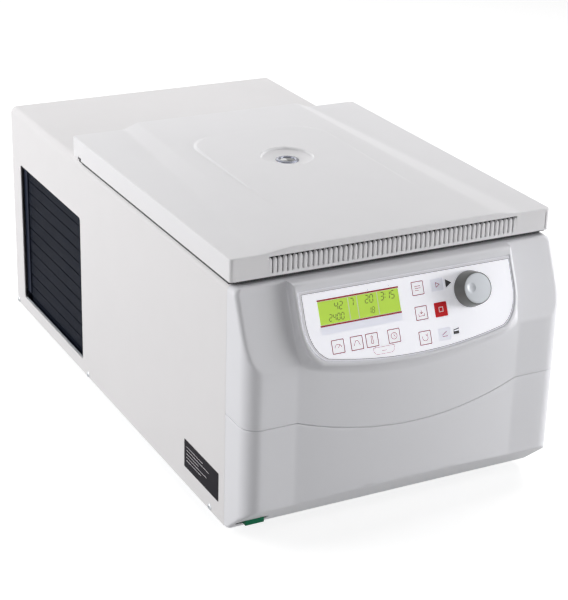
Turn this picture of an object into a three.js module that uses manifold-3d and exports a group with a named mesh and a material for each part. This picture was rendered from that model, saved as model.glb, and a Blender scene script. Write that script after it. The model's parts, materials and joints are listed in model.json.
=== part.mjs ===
// Refrigerated bench centrifuge with a low lid, a sloped control panel and a side condenser.
// Millimetres, +X to the right of someone at the controls, +Y to the back, +Z up.
// The origin is on the bench surface, under the middle of the whole machine.

import * as THREE from 'three';
import { mergeVertices } from 'three/addons/utils/BufferGeometryUtils.js';
import Module from 'manifold-3d';

const wasm = await Module();
wasm.setup();

// Whole machine
const bodyWidth = 380;
const bodyDepth = 660;
const bodyHeight = 276;
const footHeight = 10;
const sheet = 1.5;
const bendRadius = 8;
const clearance = 0.3;
const overrun = 4;
const trayWallHigh = 18;

// Moulded front
const frontReach = 50;
const browHeight = 79;
const leanDegrees = 23.6;
const frontWall = 3;
const frontCornerRadius = 18;
const chinHeight = 37;
const chinDepth = 42;
const creaseHalf = 133;
const bulge = 8;
const seam = 0.6;
const seamSideHeight = 132.5;
const seamDip = 21.5;
const seamInset = 2;

// Control panel, measured along its own slope from the fold upward
const panelProud = 11;
const panelHalf = 131.3;
const panelFootHalf = 132.5;
const panelSideEnd = 45;
const panelCornerX = 112;
const panelCornerBend = 10;
const panelCornerSide = 1.3;
const panelDrop = 11;
const panelFootDrop = 2.6;
const frameWidth = 3.9;
const frameTopWidth = 8.2;
const frameDip = 1.2;
const membraneThick = 0.8;
const panelWall = 2.6;
const pocketInset = 7;

// Display, keys and knob on the panel: centres across and up the slope
const displayWidth = 94;
const displayHeight = 24;
const displayX = -59.7;
const displayUp = 52.2;
const displayThick = 4.2;
const keySize = 15.5;
const keyWide = 15.5;
const keyLow = 12.8;
const keyThick = 4.2;
const innerColumnX = 10.2;
const outerColumnX = 33.9;
const keyRowPitch = 25.9;
const keyTopUp = 60.2;
const settingRowUp = 16.6;
const settingXs = { speed: -91, acceleration: -69.4, temperature: -51.6, time: -25.7 };
const knobX = 71.9;
const knobUp = 49.9;
const knobFootRadius = 19.5;
const knobFaceRadius = 17;
const knobDepth = 16.5;
const knobCapRadius = 15.9;
const knobCapThick = 1.6;
const knobShaftRadius = 3;
const dimpleRadius = 5;
const dimpleDepth = 1;
const dimpleX = -7.5;
const dimpleUp = 1.7;

// Control board behind the panel
const boardThick = 1.6;
const boardWidth = 190;
const boardHeight = 58;
const boardUp = 41;
const boardBack = 5.8;
const bossRadius = 3.5;
const chipSize = 14;
const chipThick = 2.4;
const chipPitch = 35;
const encoderSize = 13;
const encoderDepth = 6;

// Lid
const lidRearDepth = 233;
const lidOverhang = 6;
const lidFrontBow = 2.5;
const lidCornerRadius = 5;
const lidGap = 4;
const lidHeight = 25;
const lidWall = 3;
const lidRiseRear = 7;
const lidRiseFront = 2.6;
const lidMargin = 45;
const slopeWide = 27;
const stepInset = 28;
const stepRearInset = 79;
const stepFrontInset = 110;
const stepRise = 1.6;
const stepCorner = 46;
const dishRadius = 26.5;
const dishDepth = 2.4;
const portSetback = 10;
const portRadius = 8.6;
const portRingRadius = 13.5;
const portRingRise = 0.8;
const ribCount = 51;
const ribPitch = 5.75;
const ribWidth = 3.5;
const ribBandBottom = 3.5;
const ribBandHeight = 18;
const ribBandDeep = 4;
const ribShoulder = 10;
const linerThick = 2;
const linerLift = 6.8;
const linerSideInset = 20;
const linerRearInset = 31;
const linerFrontInset = 16;
const plugGap = 10;
const plugDrop = 5.5;

// Hinge
const hingeInset = 8;
const hingeLift = 14;
const hingeSideInset = 40;
const pinRadius = 3;
const eyeRadius = 6;
const armThick = 6;
const armReach = 95;
const armHeight = 8;
const armFootHalf = 10;
const armFootThick = 2.5;
const earThick = 4;
const earOffset = 14;
const hingeFootThick = 2.5;
const hingeFootReach = 24;
const pinHeadRadius = 4.4;
const pinHeadThick = 1.6;
const springTurns = 3;
const springWire = 0.8;
const springRadius = 5;

// Rotor chamber
const chamberForward = 6.5;
const bowlSideRoom = 50;
const bowlEndRoom = 50.5;
const bowlWall = 1.8;
const bowlHeight = 150;
const bowlFloorRadius = 18;
const bowlFlange = 16;
const bowlHole = 15;
const foamThick = 18;
const gasketGap = 3;
const gasketWidth = 9;
const deckHoleGap = 7;
const coilTurns = 4;
const coilSteps = 22;
const coilTube = 4;
const coilTopDrop = 26;
const coilPitch = 22;
const coilSlack = 1.8;

// Drive
const motorRadius = 55;
const motorFlangeRadius = 62;
const motorFlangeThick = 6;
const motorTopZ = 112;
const motorMounts = 3;
const mountHeight = 20;
const mountRadius = 11;
const mountWaist = 8.5;
const mountCircle = 48;
const shaftRadius = 8;
const shaftDip = 12;
const shaftConeRise = 22;
const shaftTipRadius = 6;
const shaftShoulder = 40;
const rotorRadius = 95;
const rotorTopRadius = 82;
const rotorHeight = 74;
const rotorLift = 16;
const rotorFootRadius = 70;
const rotorFlare = 30;
const rotorRim = 7;
const rotorDish = 32;
const rotorDishRadius = 36;
const rotorHubRadius = 20;
const rotorHubDrop = 12;
const tubeBores = 12;
const tubeBoreRadius = 7;
const tubeBoreDepth = 34;
const tubeAngleDegrees = 40;
const tubeMouthRadius = 52;
const rotorLidRadius = 86;
const rotorLidThick = 7;
const rotorNutRadius = 17;
const rotorNutHeight = 24;

// Lid lock and its emergency release
const strikerX = 60;
const strikerInset = 32;
const strikerWide = 16;
const strikerThick = 3;
const strikerDrop = 34;
const strikerWindow = 8.5;
const strikerWindowLift = 7;
const strikerFlange = 2;
const strikerSlot = 8.6;
const lockHalf = 90;
const lockBehind = 14;
const lockAhead = 12;
const lockHeight = 34;
const tongueWide = 6.6;
const tongueRetract = 6;
const lockBarDeep = 6;
const lockBarHalf = 72;
const lockTravel = 9;
const tabSideInset = 22;
const tabWide = 22;
const tabHigh = 6;
const tabLong = 26;
const tabLift = 15;
const tabProud = 4;
const tabGrip = 3;

// Cooling set
const ventFrontDepth = 248;
const ventRearDepth = 30;
const ventBottom = 17;
const ventTop = 205;
const ventCorner = 4;
const condenserThick = 36;
const condenserMargin = 4;
const condenserFins = 26;
const finGrooveDeep = 12;
const finThick = 2.4;
const finFrame = 10;
const bendTubeRadius = 4;
const bendCount = 3;
const fanRadius = 80;
const fanHubRadius = 24;
const fanHubLong = 26;
const fanBlades = 5;
const bladeThick = 2;
const bladePitchDegrees = 32;
const bladeChord = 44;
const bladeRootChord = 29;
const bladeTipChord = 37;
const bladeBellyRadius = 56;
const shroudThick = 3;
const shroudGap = 4;
const fanMotorRadius = 21;
const fanMotorLong = 34;
const strutWide = 9;
const compressorSideInset = 108;
const compressorDepth = 140;
const compressorRadius = 66;
const compressorHeight = 168;
const compressorFoot = 4;
const compressorFootSize = 150;
const compressorFootCorner = 16;
const terminalBox = 34;
const potFootShare = 0.75;
const potShoulderShare = 0.14;
const potCrownShare = 0.8;
const pipeRadius = 4;
const pipeRise = 40;

// Electrics
const rearPanelSet = 4;
const rearPanelThick = 2;
const inletSideInset = 70;
const inletUp = 60;
const inletWide = 28;
const inletHigh = 20;
const inletRim = 4;
const inletLip = 2;
const inletLong = 24;
const inletDeep = 15;
const inletWallThick = 2.2;
const inletPinWide = 4;
const inletPinThick = 2;
const inletPinLong = 9;
const inletPinSpread = 7;
const switchPitch = 46;
const switchWide = 20;
const switchHigh = 28;
const rockerLong = 9;
const rockerTiltDegrees = 10;
const rearSlotCount = 12;
const rearSlotWide = 5;
const rearSlotHigh = 90;
const rearSlotPitch = 12;
const powerWidth = 90;
const powerDepth = 180;
const powerSideInset = 62;
const powerSetback = 10;
const powerStandoff = 8;
const heatsinkHigh = 38;
const heatsinkFins = 7;
const capacitorRadius = 12;
const capacitorHigh = 40;
const capacitorPitch = 26.4;

// Feet
const footInset = 45;
const footTopRadius = 15;
const footBottomRadius = 12;

// Worked out from the sizes above
const half = bodyWidth / 2;
const foldDepth = bodyDepth + frontReach;
const foldHeight = bodyHeight - browHeight;
const lidFrontDepth = bodyDepth + lidOverhang;
const slopeOuterHalf = half - lidMargin;
const slopeInnerHalf = slopeOuterHalf - slopeWide;
const stepHalf = slopeInnerHalf - stepInset;
const stepRearDepth = lidRearDepth + stepRearInset;
const stepFadeDepth = lidFrontDepth - stepFrontInset;
const linerHalf = half - linerSideInset;
const linerRearDepth = lidRearDepth + linerRearInset;
const linerFrontDepth = lidFrontDepth - linerFrontInset;
const hingeDepth = lidRearDepth + hingeInset;
const hingeX = half - hingeSideInset;
const strikerDepth = bodyDepth - strikerInset;
const lockRearDepth = strikerDepth - lockBehind;
const lockFrontDepth = strikerDepth + lockAhead;
// The round chamber fits between the side walls, and between the lid's rear edge and its lock.
const chamberDepth = (lockRearDepth + lidRearDepth) / 2 + chamberForward;
const bowlRadius = Math.min(half - bowlSideRoom, (lockRearDepth - lidRearDepth) / 2 - bowlEndRoom);
const portDepth = chamberDepth - portSetback;
const plugRadius = bowlRadius - plugGap;
const gasketInner = bowlRadius + gasketGap;
const deckHoleRadius = bowlRadius + deckHoleGap;
const tabX = tabSideInset - half;
const compressorX = half - compressorSideInset;
const powerX = half - powerSideInset;
const powerCentreDepth = chamberDepth - powerSetback;
const inletX = half - inletSideInset;
const switchX = inletX - switchPitch;
const baseZ = footHeight;
const deckZ = baseZ + bodyHeight;
const foldZ = baseZ + foldHeight;
const lean = THREE.MathUtils.degToRad(leanDegrees);
const panelTopUp = (deckZ - foldZ) / Math.cos(lean);
const panelDepth = foldDepth + panelProud;
const overallDepth = panelDepth + panelDrop * Math.sin(lean);
const lidBottomZ = deckZ + lidGap;
const lidTopZ = lidBottomZ + lidHeight;
const linerZ = deckZ + linerLift;
const hingeZ = deckZ + hingeLift;
const floorZ = deckZ - bowlHeight;
const innerHalf = half - sheet - clearance;
const trayTopZ = baseZ + sheet;
const trayWallTopZ = baseZ + trayWallHigh;
const outerBowl = bowlRadius + bowlWall;
const foamInner = outerBowl + 2 * coilTube + coilSlack + 2 * clearance;
const foamOuter = outerBowl + foamThick;
const knobStart = clearance - frameDip + membraneThick;

const looks = {
  white: { color: 0xdfe0e2, roughness: 0.45, metalness: 0.1 },
  grey: { color: 0xa9acb5, roughness: 0.5, metalness: 0 },
  lid: { color: 0xd2d0d4, roughness: 0.5, metalness: 0 },
  membrane: { color: 0xf2f3f8, roughness: 0.4, metalness: 0 },
  lilac: { color: 0xd3d3e6, roughness: 0.4, metalness: 0 },
  red: { color: 0xd0101c, roughness: 0.4, metalness: 0 },
  display: { color: 0x7db52a, roughness: 0.2, metalness: 0 },
  dark: { color: 0x3a3d42, roughness: 0.6, metalness: 0 },
  black: { color: 0x16171a, roughness: 0.7, metalness: 0 },
  knobFace: { color: 0xb4bcc6, roughness: 0.4, metalness: 0 },
  steel: { color: 0xb9bcc0, roughness: 0.3, metalness: 0.9 },
  zinc: { color: 0x9ea3a8, roughness: 0.45, metalness: 0.8 },
  rubber: { color: 0x1c1c1e, roughness: 0.9, metalness: 0 },
  foam: { color: 0xd9c98f, roughness: 0.9, metalness: 0 },
  copper: { color: 0xb4673c, roughness: 0.35, metalness: 0.9 },
  aluminium: { color: 0x8d939b, roughness: 0.4, metalness: 0.8 },
  navy: { color: 0x1b2334, roughness: 0.6, metalness: 0.3 },
  circuit: { color: 0x1f5a36, roughness: 0.6, metalness: 0 },
  green: { color: 0x0b5a2e, roughness: 0.5, metalness: 0 },
  glass: { color: 0x20222a, roughness: 0.1, metalness: 0 },
};

const group = new THREE.Group();

// Distance forward from the back edge becomes Y in the working frame, where the back edge is at 0.
const at = (depth) => -depth;

function signedVolume(positions, triangles) {
  const a = new THREE.Vector3();
  const b = new THREE.Vector3();
  const c = new THREE.Vector3();
  let sum = 0;
  for (let i = 0; i < triangles.length; i += 3) {
    a.fromArray(positions, triangles[i] * 3);
    b.fromArray(positions, triangles[i + 1] * 3);
    c.fromArray(positions, triangles[i + 2] * 3);
    sum += a.dot(b.cross(c));
  }
  return sum;
}

// Turns a closed three.js geometry into a solid that can be joined and cut.
function solidOf(source) {
  const bare = new THREE.BufferGeometry();
  bare.setAttribute('position', source.getAttribute('position').clone());
  if (source.index) bare.setIndex(source.index.clone());
  const merged = mergeVertices(bare);
  const positions = merged.getAttribute('position').array;
  const index = merged.index.array;
  const kept = [];
  for (let i = 0; i < index.length; i += 3) {
    const [p, q, r] = [index[i], index[i + 1], index[i + 2]];
    if (p !== q && q !== r && r !== p) kept.push(p, q, r);
  }
  if (signedVolume(positions, kept) < 0) {
    for (let i = 0; i < kept.length; i += 3) [kept[i], kept[i + 1]] = [kept[i + 1], kept[i]];
  }
  const vertProperties = new Float32Array(positions);
  const triVerts = new Uint32Array(kept);
  return new wasm.Manifold(new wasm.Mesh({ numProp: 3, vertProperties, triVerts }));
}

function geometryOf(solid) {
  const mesh = solid.getMesh();
  const geometry = new THREE.BufferGeometry();
  geometry.setAttribute('position', new THREE.BufferAttribute(mesh.vertProperties, 3));
  geometry.setIndex(new THREE.BufferAttribute(mesh.triVerts, 1));
  return geometry;
}

function addPart(name, solid, look) {
  const mesh = new THREE.Mesh(geometryOf(solid), new THREE.MeshStandardMaterial(looks[look]));
  mesh.name = name;
  group.add(mesh);
}

const join = (solids) => solids.reduce((sum, solid) => sum.add(solid));
const cut = (solid, cutters) => cutters.reduce((rest, cutter) => rest.subtract(cutter), solid);

function box(x0, x1, y0, y1, z0, z1) {
  const geometry = new THREE.BoxGeometry(x1 - x0, y1 - y0, z1 - z0);
  geometry.translate((x0 + x1) / 2, (y0 + y1) / 2, (z0 + z1) / 2);
  return solidOf(geometry);
}

// Upright turned piece from [radius, height] points, at a place in plan.
function turned(points, sides, x = 0, y = 0) {
  const outline = points.map(([radius, height]) => new THREE.Vector2(radius, height));
  const geometry = new THREE.LatheGeometry(outline, sides);
  geometry.rotateX(Math.PI / 2);
  geometry.translate(x, y, 0);
  return solidOf(geometry);
}

function disc(radius, z0, z1, sides, x = 0, y = 0) {
  return turned([[0, z0], [radius, z0], [radius, z1], [0, z1]], sides, x, y);
}

// Round bar from one point to another.
function bar(from, to, radius, sides) {
  const a = new THREE.Vector3(...from);
  const b = new THREE.Vector3(...to);
  const geometry = new THREE.CylinderGeometry(radius, radius, a.distanceTo(b), sides);
  const along = b.clone().sub(a).normalize();
  const turn = new THREE.Quaternion().setFromUnitVectors(new THREE.Vector3(0, 1, 0), along);
  geometry.applyQuaternion(turn);
  geometry.translate((a.x + b.x) / 2, (a.y + b.y) / 2, (a.z + b.z) / 2);
  return solidOf(geometry);
}

function pull(shape, length, segments) {
  return new THREE.ExtrudeGeometry(shape, { depth: length, bevelEnabled: false, curveSegments: segments });
}

// Outline in plan (X, Y), pulled up from z0 to z1.
function plan(shape, z0, z1, segments = 8) {
  const geometry = pull(shape, z1 - z0, segments);
  geometry.translate(0, 0, z0);
  return solidOf(geometry);
}

// Outline in side view (Y, Z), pulled along X from x0 to x1.
function side(shape, x0, x1, segments = 8) {
  const geometry = pull(shape, x1 - x0, segments);
  const basis = new THREE.Matrix4().makeBasis(
    new THREE.Vector3(0, 1, 0),
    new THREE.Vector3(0, 0, 1),
    new THREE.Vector3(1, 0, 0),
  );
  geometry.applyMatrix4(basis);
  geometry.translate(x0, 0, 0);
  return solidOf(geometry);
}

// Outline in front view (X, Z), pulled along Y from y0 to y1.
function front(shape, y0, y1, segments = 8) {
  const geometry = pull(shape, y1 - y0, segments);
  geometry.rotateX(Math.PI / 2);
  geometry.translate(0, y1, 0);
  return solidOf(geometry);
}

function polygon(points) {
  return new THREE.Shape(points.map(([a, b]) => new THREE.Vector2(a, b)));
}

function roundedRectangle(x0, x1, y0, y1, radius) {
  const shape = new THREE.Shape();
  shape.moveTo(x0 + radius, y0);
  shape.lineTo(x1 - radius, y0);
  shape.absarc(x1 - radius, y0 + radius, radius, -Math.PI / 2, 0);
  shape.lineTo(x1, y1 - radius);
  shape.absarc(x1 - radius, y1 - radius, radius, 0, Math.PI / 2);
  shape.lineTo(x0 + radius, y1);
  shape.absarc(x0 + radius, y1 - radius, radius, Math.PI / 2, Math.PI);
  shape.lineTo(x0, y0 + radius);
  shape.absarc(x0 + radius, y0 + radius, radius, Math.PI, 1.5 * Math.PI);
  return shape;
}

// Closed solid between outlines that have the same number of points.
function loft(sections) {
  const count = sections[0].length;
  const positions = sections.flat().flatMap((point) => [point.x, point.y, point.z]);
  const triangles = [];
  for (let level = 0; level + 1 < sections.length; level += 1) {
    for (let i = 0; i < count; i += 1) {
      const a = level * count + i;
      const b = level * count + ((i + 1) % count);
      triangles.push(a, b, b + count, a, b + count, a + count);
    }
  }
  const flat = capTriangles(sections[0]);
  const last = (sections.length - 1) * count;
  flat.forEach(([a, b, c]) => triangles.push(c, b, a, last + a, last + b, last + c));
  const geometry = new THREE.BufferGeometry();
  geometry.setAttribute('position', new THREE.Float32BufferAttribute(positions, 3));
  geometry.setIndex(triangles);
  return solidOf(geometry);
}

// Triangles of a flat outline, found in the plane that it lies in.
function capTriangles(outline) {
  const normal = new THREE.Vector3();
  outline.forEach((point, i) => normal.add(point.clone().cross(outline[(i + 1) % outline.length])));
  const turn = new THREE.Quaternion().setFromUnitVectors(normal.normalize(), new THREE.Vector3(0, 0, 1));
  const flat = outline.map((point) => point.clone().applyQuaternion(turn));
  return THREE.ShapeUtils.triangulateShape(flat.map((point) => new THREE.Vector2(point.x, point.y)), []);
}

// The panel's frame: X across, the second axis up its slope, the third straight out of its face.
const panelMatrix = new THREE.Matrix4().makeBasis(
  new THREE.Vector3(1, 0, 0),
  new THREE.Vector3(0, Math.sin(lean), Math.cos(lean)),
  new THREE.Vector3(0, -Math.cos(lean), Math.sin(lean)),
);
panelMatrix.setPosition(0, at(panelDepth), foldZ);

// Outline on the panel, pulled from one height over its face to another.
function onPanel(shape, from, to, segments = 8) {
  const geometry = pull(shape, to - from, segments);
  geometry.translate(0, 0, from);
  geometry.applyMatrix4(panelMatrix);
  return solidOf(geometry);
}

function panelTurned(points, sides, x, up) {
  const outline = points.map(([radius, height]) => new THREE.Vector2(radius, height));
  const geometry = new THREE.LatheGeometry(outline, sides);
  geometry.rotateX(Math.PI / 2);
  geometry.translate(x, up, 0);
  geometry.applyMatrix4(panelMatrix);
  return solidOf(geometry);
}

// Straight hole or rod square to the panel, between two heights over its face.
function panelDisc(radius, from, to, sides, x, up) {
  return panelTurned([[0, from], [radius, from], [radius, to], [0, to]], sides, x, up);
}

const rectangle = (x, up, width, height) => polygon([
  [x - width / 2, up - height / 2],
  [x + width / 2, up - height / 2],
  [x + width / 2, up + height / 2],
  [x - width / 2, up + height / 2],
]);

// The panel's outline: straight sides, drawn-in lower corners and a bowed lower edge.
function panelOutline(inset, topInset) {
  const w = panelHalf - inset;
  const top = panelTopUp - topInset;
  const corner = panelCornerX - inset;
  const shape = new THREE.Shape();
  shape.moveTo(w, top);
  shape.lineTo(-w, top);
  shape.lineTo(-w, panelSideEnd);
  shape.quadraticCurveTo(-w + panelCornerSide, panelCornerBend + inset, -corner, inset);
  shape.quadraticCurveTo(0, inset - 2 * panelDrop, corner, inset);
  shape.quadraticCurveTo(w - panelCornerSide, panelCornerBend + inset, w, panelSideEnd);
  return shape;
}

// Side view of the moulded front, drawn in by an even wall.
function frontProfile(wall, reach = foldDepth) {
  const slope = chinDepth / chinHeight;
  const chin = wall * Math.hypot(1, slope);
  const leanShift = wall / Math.cos(lean);
  const back = at(bodyDepth + clearance) + (wall ? overrun : 0);
  const face = reach - wall;
  const chinZ = (depth) => baseZ + (depth - foldDepth + chinDepth) / slope + chin / slope;
  const leanDepth = (z) => foldDepth - leanShift - (z - foldZ) * Math.tan(lean);
  const floor = baseZ + wall;
  const top = deckZ - wall;
  const bend = foldZ + (foldDepth - leanShift - face) / Math.tan(lean);
  return polygon([
    [back, floor],
    [at(foldDepth - chinDepth - chin + wall * slope), floor],
    [at(face), chinZ(face)],
    [at(face), wall ? bend : foldZ],
    [at(leanDepth(top)), top],
    [back, top],
  ]);
}

function bulgeSolid() {
  const radius = (creaseHalf ** 2 + bulge ** 2) / (2 * bulge);
  const sweep = Math.asin(creaseHalf / radius);
  const shape = new THREE.Shape();
  const centreY = at(foldDepth + bulge) + radius;
  shape.moveTo(-creaseHalf, at(foldDepth - frontWall));
  shape.absarc(0, centreY, radius, -Math.PI / 2 - sweep, -Math.PI / 2 + sweep);
  shape.lineTo(creaseHalf, at(foldDepth - frontWall));
  const block = plan(shape, baseZ, foldZ - panelFootDrop, 16);
  const slope = chinDepth / chinHeight;
  const deep = foldDepth + 2 * bulge;
  const keep = polygon([
    [at(foldDepth - 2 * frontWall), baseZ + chinHeight - (2 * frontWall) / slope],
    [at(deep), baseZ + chinHeight + (deep - foldDepth) / slope],
    [at(deep), deckZ],
    [at(foldDepth - 2 * frontWall), deckZ],
  ]);
  return block.intersect(side(keep, -half, half));
}

// The raised panel: a rounded front outline, and a foot with square lower corners on the slope behind.
// It runs on above the deck, where the shell's flat top cuts it off.
function panelBlock() {
  const outline = panelOutline(0, -2 * panelProud).getPoints(8);
  const face = outline.map((p) => new THREE.Vector3(p.x, p.y, 0));
  const behind = panelProud * Math.cos(lean) + frontWall;
  const foot = outline.map((p) => {
    const sign = Math.sign(p.x);
    const beyond = THREE.MathUtils.clamp((Math.abs(p.x) - panelCornerX) / (panelHalf - panelCornerX), 0, 1);
    const widened = Math.abs(p.x) > panelCornerX;
    const low = Math.min(p.y, p.y * beyond ** 4 - panelFootDrop * (1 - beyond ** 4));
    const x = widened ? sign * (panelFootHalf - (panelFootHalf - panelCornerX) * (1 - beyond) ** 2.5) : p.x;
    return new THREE.Vector3(x, widened && p.y < panelSideEnd ? low : p.y, -behind);
  });
  const matrix = panelMatrix;
  return loft([foot.map((p) => p.applyMatrix4(matrix)), face.map((p) => p.applyMatrix4(matrix))]);
}

function seamCutter(lower) {
  const side0 = baseZ + seamSideHeight - lower;
  const dip = baseZ + seamSideHeight - seamDip - lower;
  const shape = new THREE.Shape();
  shape.moveTo(-half - overrun, baseZ - overrun);
  shape.lineTo(half + overrun, baseZ - overrun);
  shape.lineTo(half + overrun, side0);
  shape.lineTo(creaseHalf, side0);
  shape.quadraticCurveTo(0, 2 * dip - side0, -creaseHalf, side0);
  shape.lineTo(-half - overrun, side0);
  return front(shape, at(overallDepth + overrun), at(bodyDepth - overrun), 12);
}

const keys = [
  { name: 'key_program', x: innerColumnX, row: 0, high: keySize, look: 'membrane' },
  { name: 'key_start', x: outerColumnX, row: 0, high: keyLow, look: 'lilac' },
  { name: 'key_store', x: innerColumnX, row: 1, high: keySize, look: 'membrane' },
  { name: 'key_stop', x: outerColumnX, row: 1, high: keySize, look: 'red' },
  { name: 'key_short_spin', x: innerColumnX, row: 2, high: keySize, look: 'membrane' },
  { name: 'key_lid_open', x: outerColumnX, row: 2, high: keyLow, look: 'lilac' },
].map((key) => ({ ...key, up: keyTopUp - key.row * keyRowPitch }));
Object.entries(settingXs).forEach(([name, x]) => {
  keys.push({ name: `key_${name}`, x, up: settingRowUp, high: keySize, look: 'membrane' });
});

function frontShell() {
  const outer = side(frontProfile(0), -half, half);
  const back = at(bodyDepth - 2 * frontCornerRadius);
  const corners = roundedRectangle(-half, half, at(foldDepth), back, frontCornerRadius);
  const rounded = outer.intersect(plan(corners, baseZ - overrun, deckZ + overrun));
  const filled = join([rounded, bulgeSolid(), panelBlock()]);
  const cavity = side(frontProfile(frontWall), -half + frontWall, half - frontWall);
  const inside = front(hoodProfile(frontWall), at(overallDepth), at(0), 5);
  const innerCorners = roundedRectangle(
    -half + frontWall,
    half - frontWall,
    at(foldDepth - frontWall),
    back,
    frontCornerRadius - frontWall,
  );
  const room = cavity.intersect(plan(innerCorners, baseZ - overrun, deckZ + overrun)).intersect(inside);
  const hood = front(hoodProfile(0), at(overallDepth + overrun), at(0), 5);
  return filled.subtract(room).intersect(hood);
}

function panelCuts() {
  const through = panelProud + frontWall + overrun;
  const wallBack = -frameDip - panelWall;
  const pocket = onPanel(panelOutline(pocketInset, frameTopWidth + frameWidth), -through, wallBack);
  const recess = onPanel(panelOutline(frameWidth, frameTopWidth), -frameDip, overrun);
  const window = onPanel(rectangle(displayX, displayUp, displayWidth, displayHeight), -through, overrun);
  const keyHoles = keys.map((key) => onPanel(rectangle(key.x, key.up, keyWide, key.high), -through, overrun));
  const shaftHole = panelDisc(knobShaftRadius + clearance, -through, overrun, 20, knobX, knobUp);
  return [pocket, recess, window, ...keyHoles, shaftHole];
}

const bossEdge = boardWidth / 2 - 2 * bossRadius;
const bossPlaces = [
  { x: -bossEdge, up: settingRowUp + keySize },
  { x: innerColumnX - keyWide, up: settingRowUp + keySize },
  { x: bossEdge, up: boardUp - boardHeight / 2 + 2 * bossRadius },
  { x: bossEdge, up: boardUp + boardHeight / 2 - 2 * bossRadius },
];

function addFront() {
  const shell = frontShell();
  const upper = cut(shell.subtract(seamCutter(0)), panelCuts());
  const bosses = bossPlaces.map(({ x, up }) => {
    const back = -frameDip - boardBack + clearance;
    const start = -frameDip - panelWall / 2;
    return panelDisc(bossRadius, back, start, 12, x, up);
  });
  addPart('front_housing', join([upper, ...bosses]), 'grey');

  const room = box(-half, half, at(overallDepth), at(bodyDepth + seamInset), 0, deckZ);
  const kept = seamCutter(seam).intersect(room);
  const slot = box(
    tabX - tabWide / 2 - 2 * clearance,
    tabX + tabWide / 2 + 2 * clearance,
    at(foldDepth),
    at(bodyDepth - overrun),
    baseZ + tabLift - tabHigh / 2 - clearance,
    baseZ + tabLift + tabHigh / 2 + clearance,
  );
  addPart('lower_front_panel', shell.intersect(kept).subtract(slot), 'grey');
}

function addControls() {
  const face = membraneThick - frameDip;
  const outline = panelOutline(frameWidth + clearance, frameTopWidth + clearance);
  const holes = [
    onPanel(rectangle(displayX, displayUp, displayWidth, displayHeight), -overrun, overrun),
    ...keys.map((key) => onPanel(rectangle(key.x, key.up, keyWide, key.high), -overrun, overrun)),
    panelDisc(knobShaftRadius + clearance, -overrun, overrun, 20, knobX, knobUp),
  ];
  const film = onPanel(outline, face - membraneThick + clearance / 2, face);
  addPart('control_membrane', cut(film, holes), 'membrane');

  const glass = rectangle(displayX, displayUp, displayWidth - 2 * clearance, displayHeight - 2 * clearance);
  addPart('display', onPanel(glass, face - clearance - displayThick, face - clearance), 'display');

  keys.forEach((key) => {
    const cap = rectangle(key.x, key.up, keyWide - 2 * clearance, key.high - 2 * clearance);
    addPart(key.name, onPanel(cap, face - keyThick, face), key.look);
  });

  addKnob();
  addBoard();
}

function addKnob() {
  const start = knobStart;
  const end = start + knobDepth;
  const shaftEnd = -frameDip - boardBack - clearance;
  const body = panelTurned([
    [0, shaftEnd],
    [knobShaftRadius, shaftEnd],
    [knobShaftRadius, start],
    [knobFootRadius - knobCapThick / 2, start],
    [knobFootRadius, start + knobCapThick / 2],
    [knobFootRadius, start + knobCapThick],
    [knobFaceRadius, end - knobCapThick / 2],
    [knobFaceRadius - knobCapThick / 4, end],
    [knobCapRadius + clearance, end],
    [knobCapRadius + clearance, end - knobCapThick],
    [0, end - knobCapThick],
  ], 28, knobX, knobUp);
  addPart('selector_knob', body, 'dark');

  const low = end - knobCapThick + clearance;
  const cap = panelDisc(knobCapRadius, low, end, 28, knobX, knobUp);
  const ball = (dimpleRadius ** 2 + dimpleDepth ** 2) / (2 * dimpleDepth);
  const arc = [0, 1, 2, 3].map((i) => {
    const radius = (dimpleRadius * i) / 3;
    return [radius, end - dimpleDepth + ball - Math.sqrt(ball ** 2 - radius ** 2)];
  });
  const dimple = panelTurned(
    [...arc, [dimpleRadius, end + overrun], [0, end + overrun]],
    16,
    knobX + dimpleX,
    knobUp + dimpleUp,
  );
  addPart('knob_cap', cap.subtract(dimple), 'knobFace');
}

function addBoard() {
  const top = -frameDip - boardBack;
  const back = top - boardThick;
  const plate = onPanel(rectangle(0, boardUp, boardWidth, boardHeight), back, top);
  const hole = panelDisc(knobShaftRadius + clearance, back - overrun, top + overrun, 16, knobX, knobUp);
  const chips = [-2, -1, 0, 1].map((step) => onPanel(
    rectangle(step * chipPitch, boardUp - chipSize / 2, chipSize, chipSize),
    back - chipThick,
    back + boardThick / 2,
  ));
  const encoder = onPanel(
    rectangle(knobX, knobUp, encoderSize, encoderSize),
    back - encoderDepth,
    back + boardThick / 2,
  );
  addPart('control_board', join([plate, ...chips, encoder]).subtract(hole), 'circuit');
}

function hoodProfile(inset) {
  const w = half - inset;
  const radius = bendRadius - inset;
  const top = deckZ - inset;
  const shape = new THREE.Shape();
  shape.moveTo(-w, baseZ - (inset ? overrun : 0));
  shape.lineTo(-w, top - radius);
  shape.absarc(-w + radius, top - radius, radius, Math.PI, Math.PI / 2, true);
  shape.lineTo(w - radius, top);
  shape.absarc(w - radius, top - radius, radius, Math.PI / 2, 0, true);
  shape.lineTo(w, baseZ - (inset ? overrun : 0));
  return shape;
}

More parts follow.
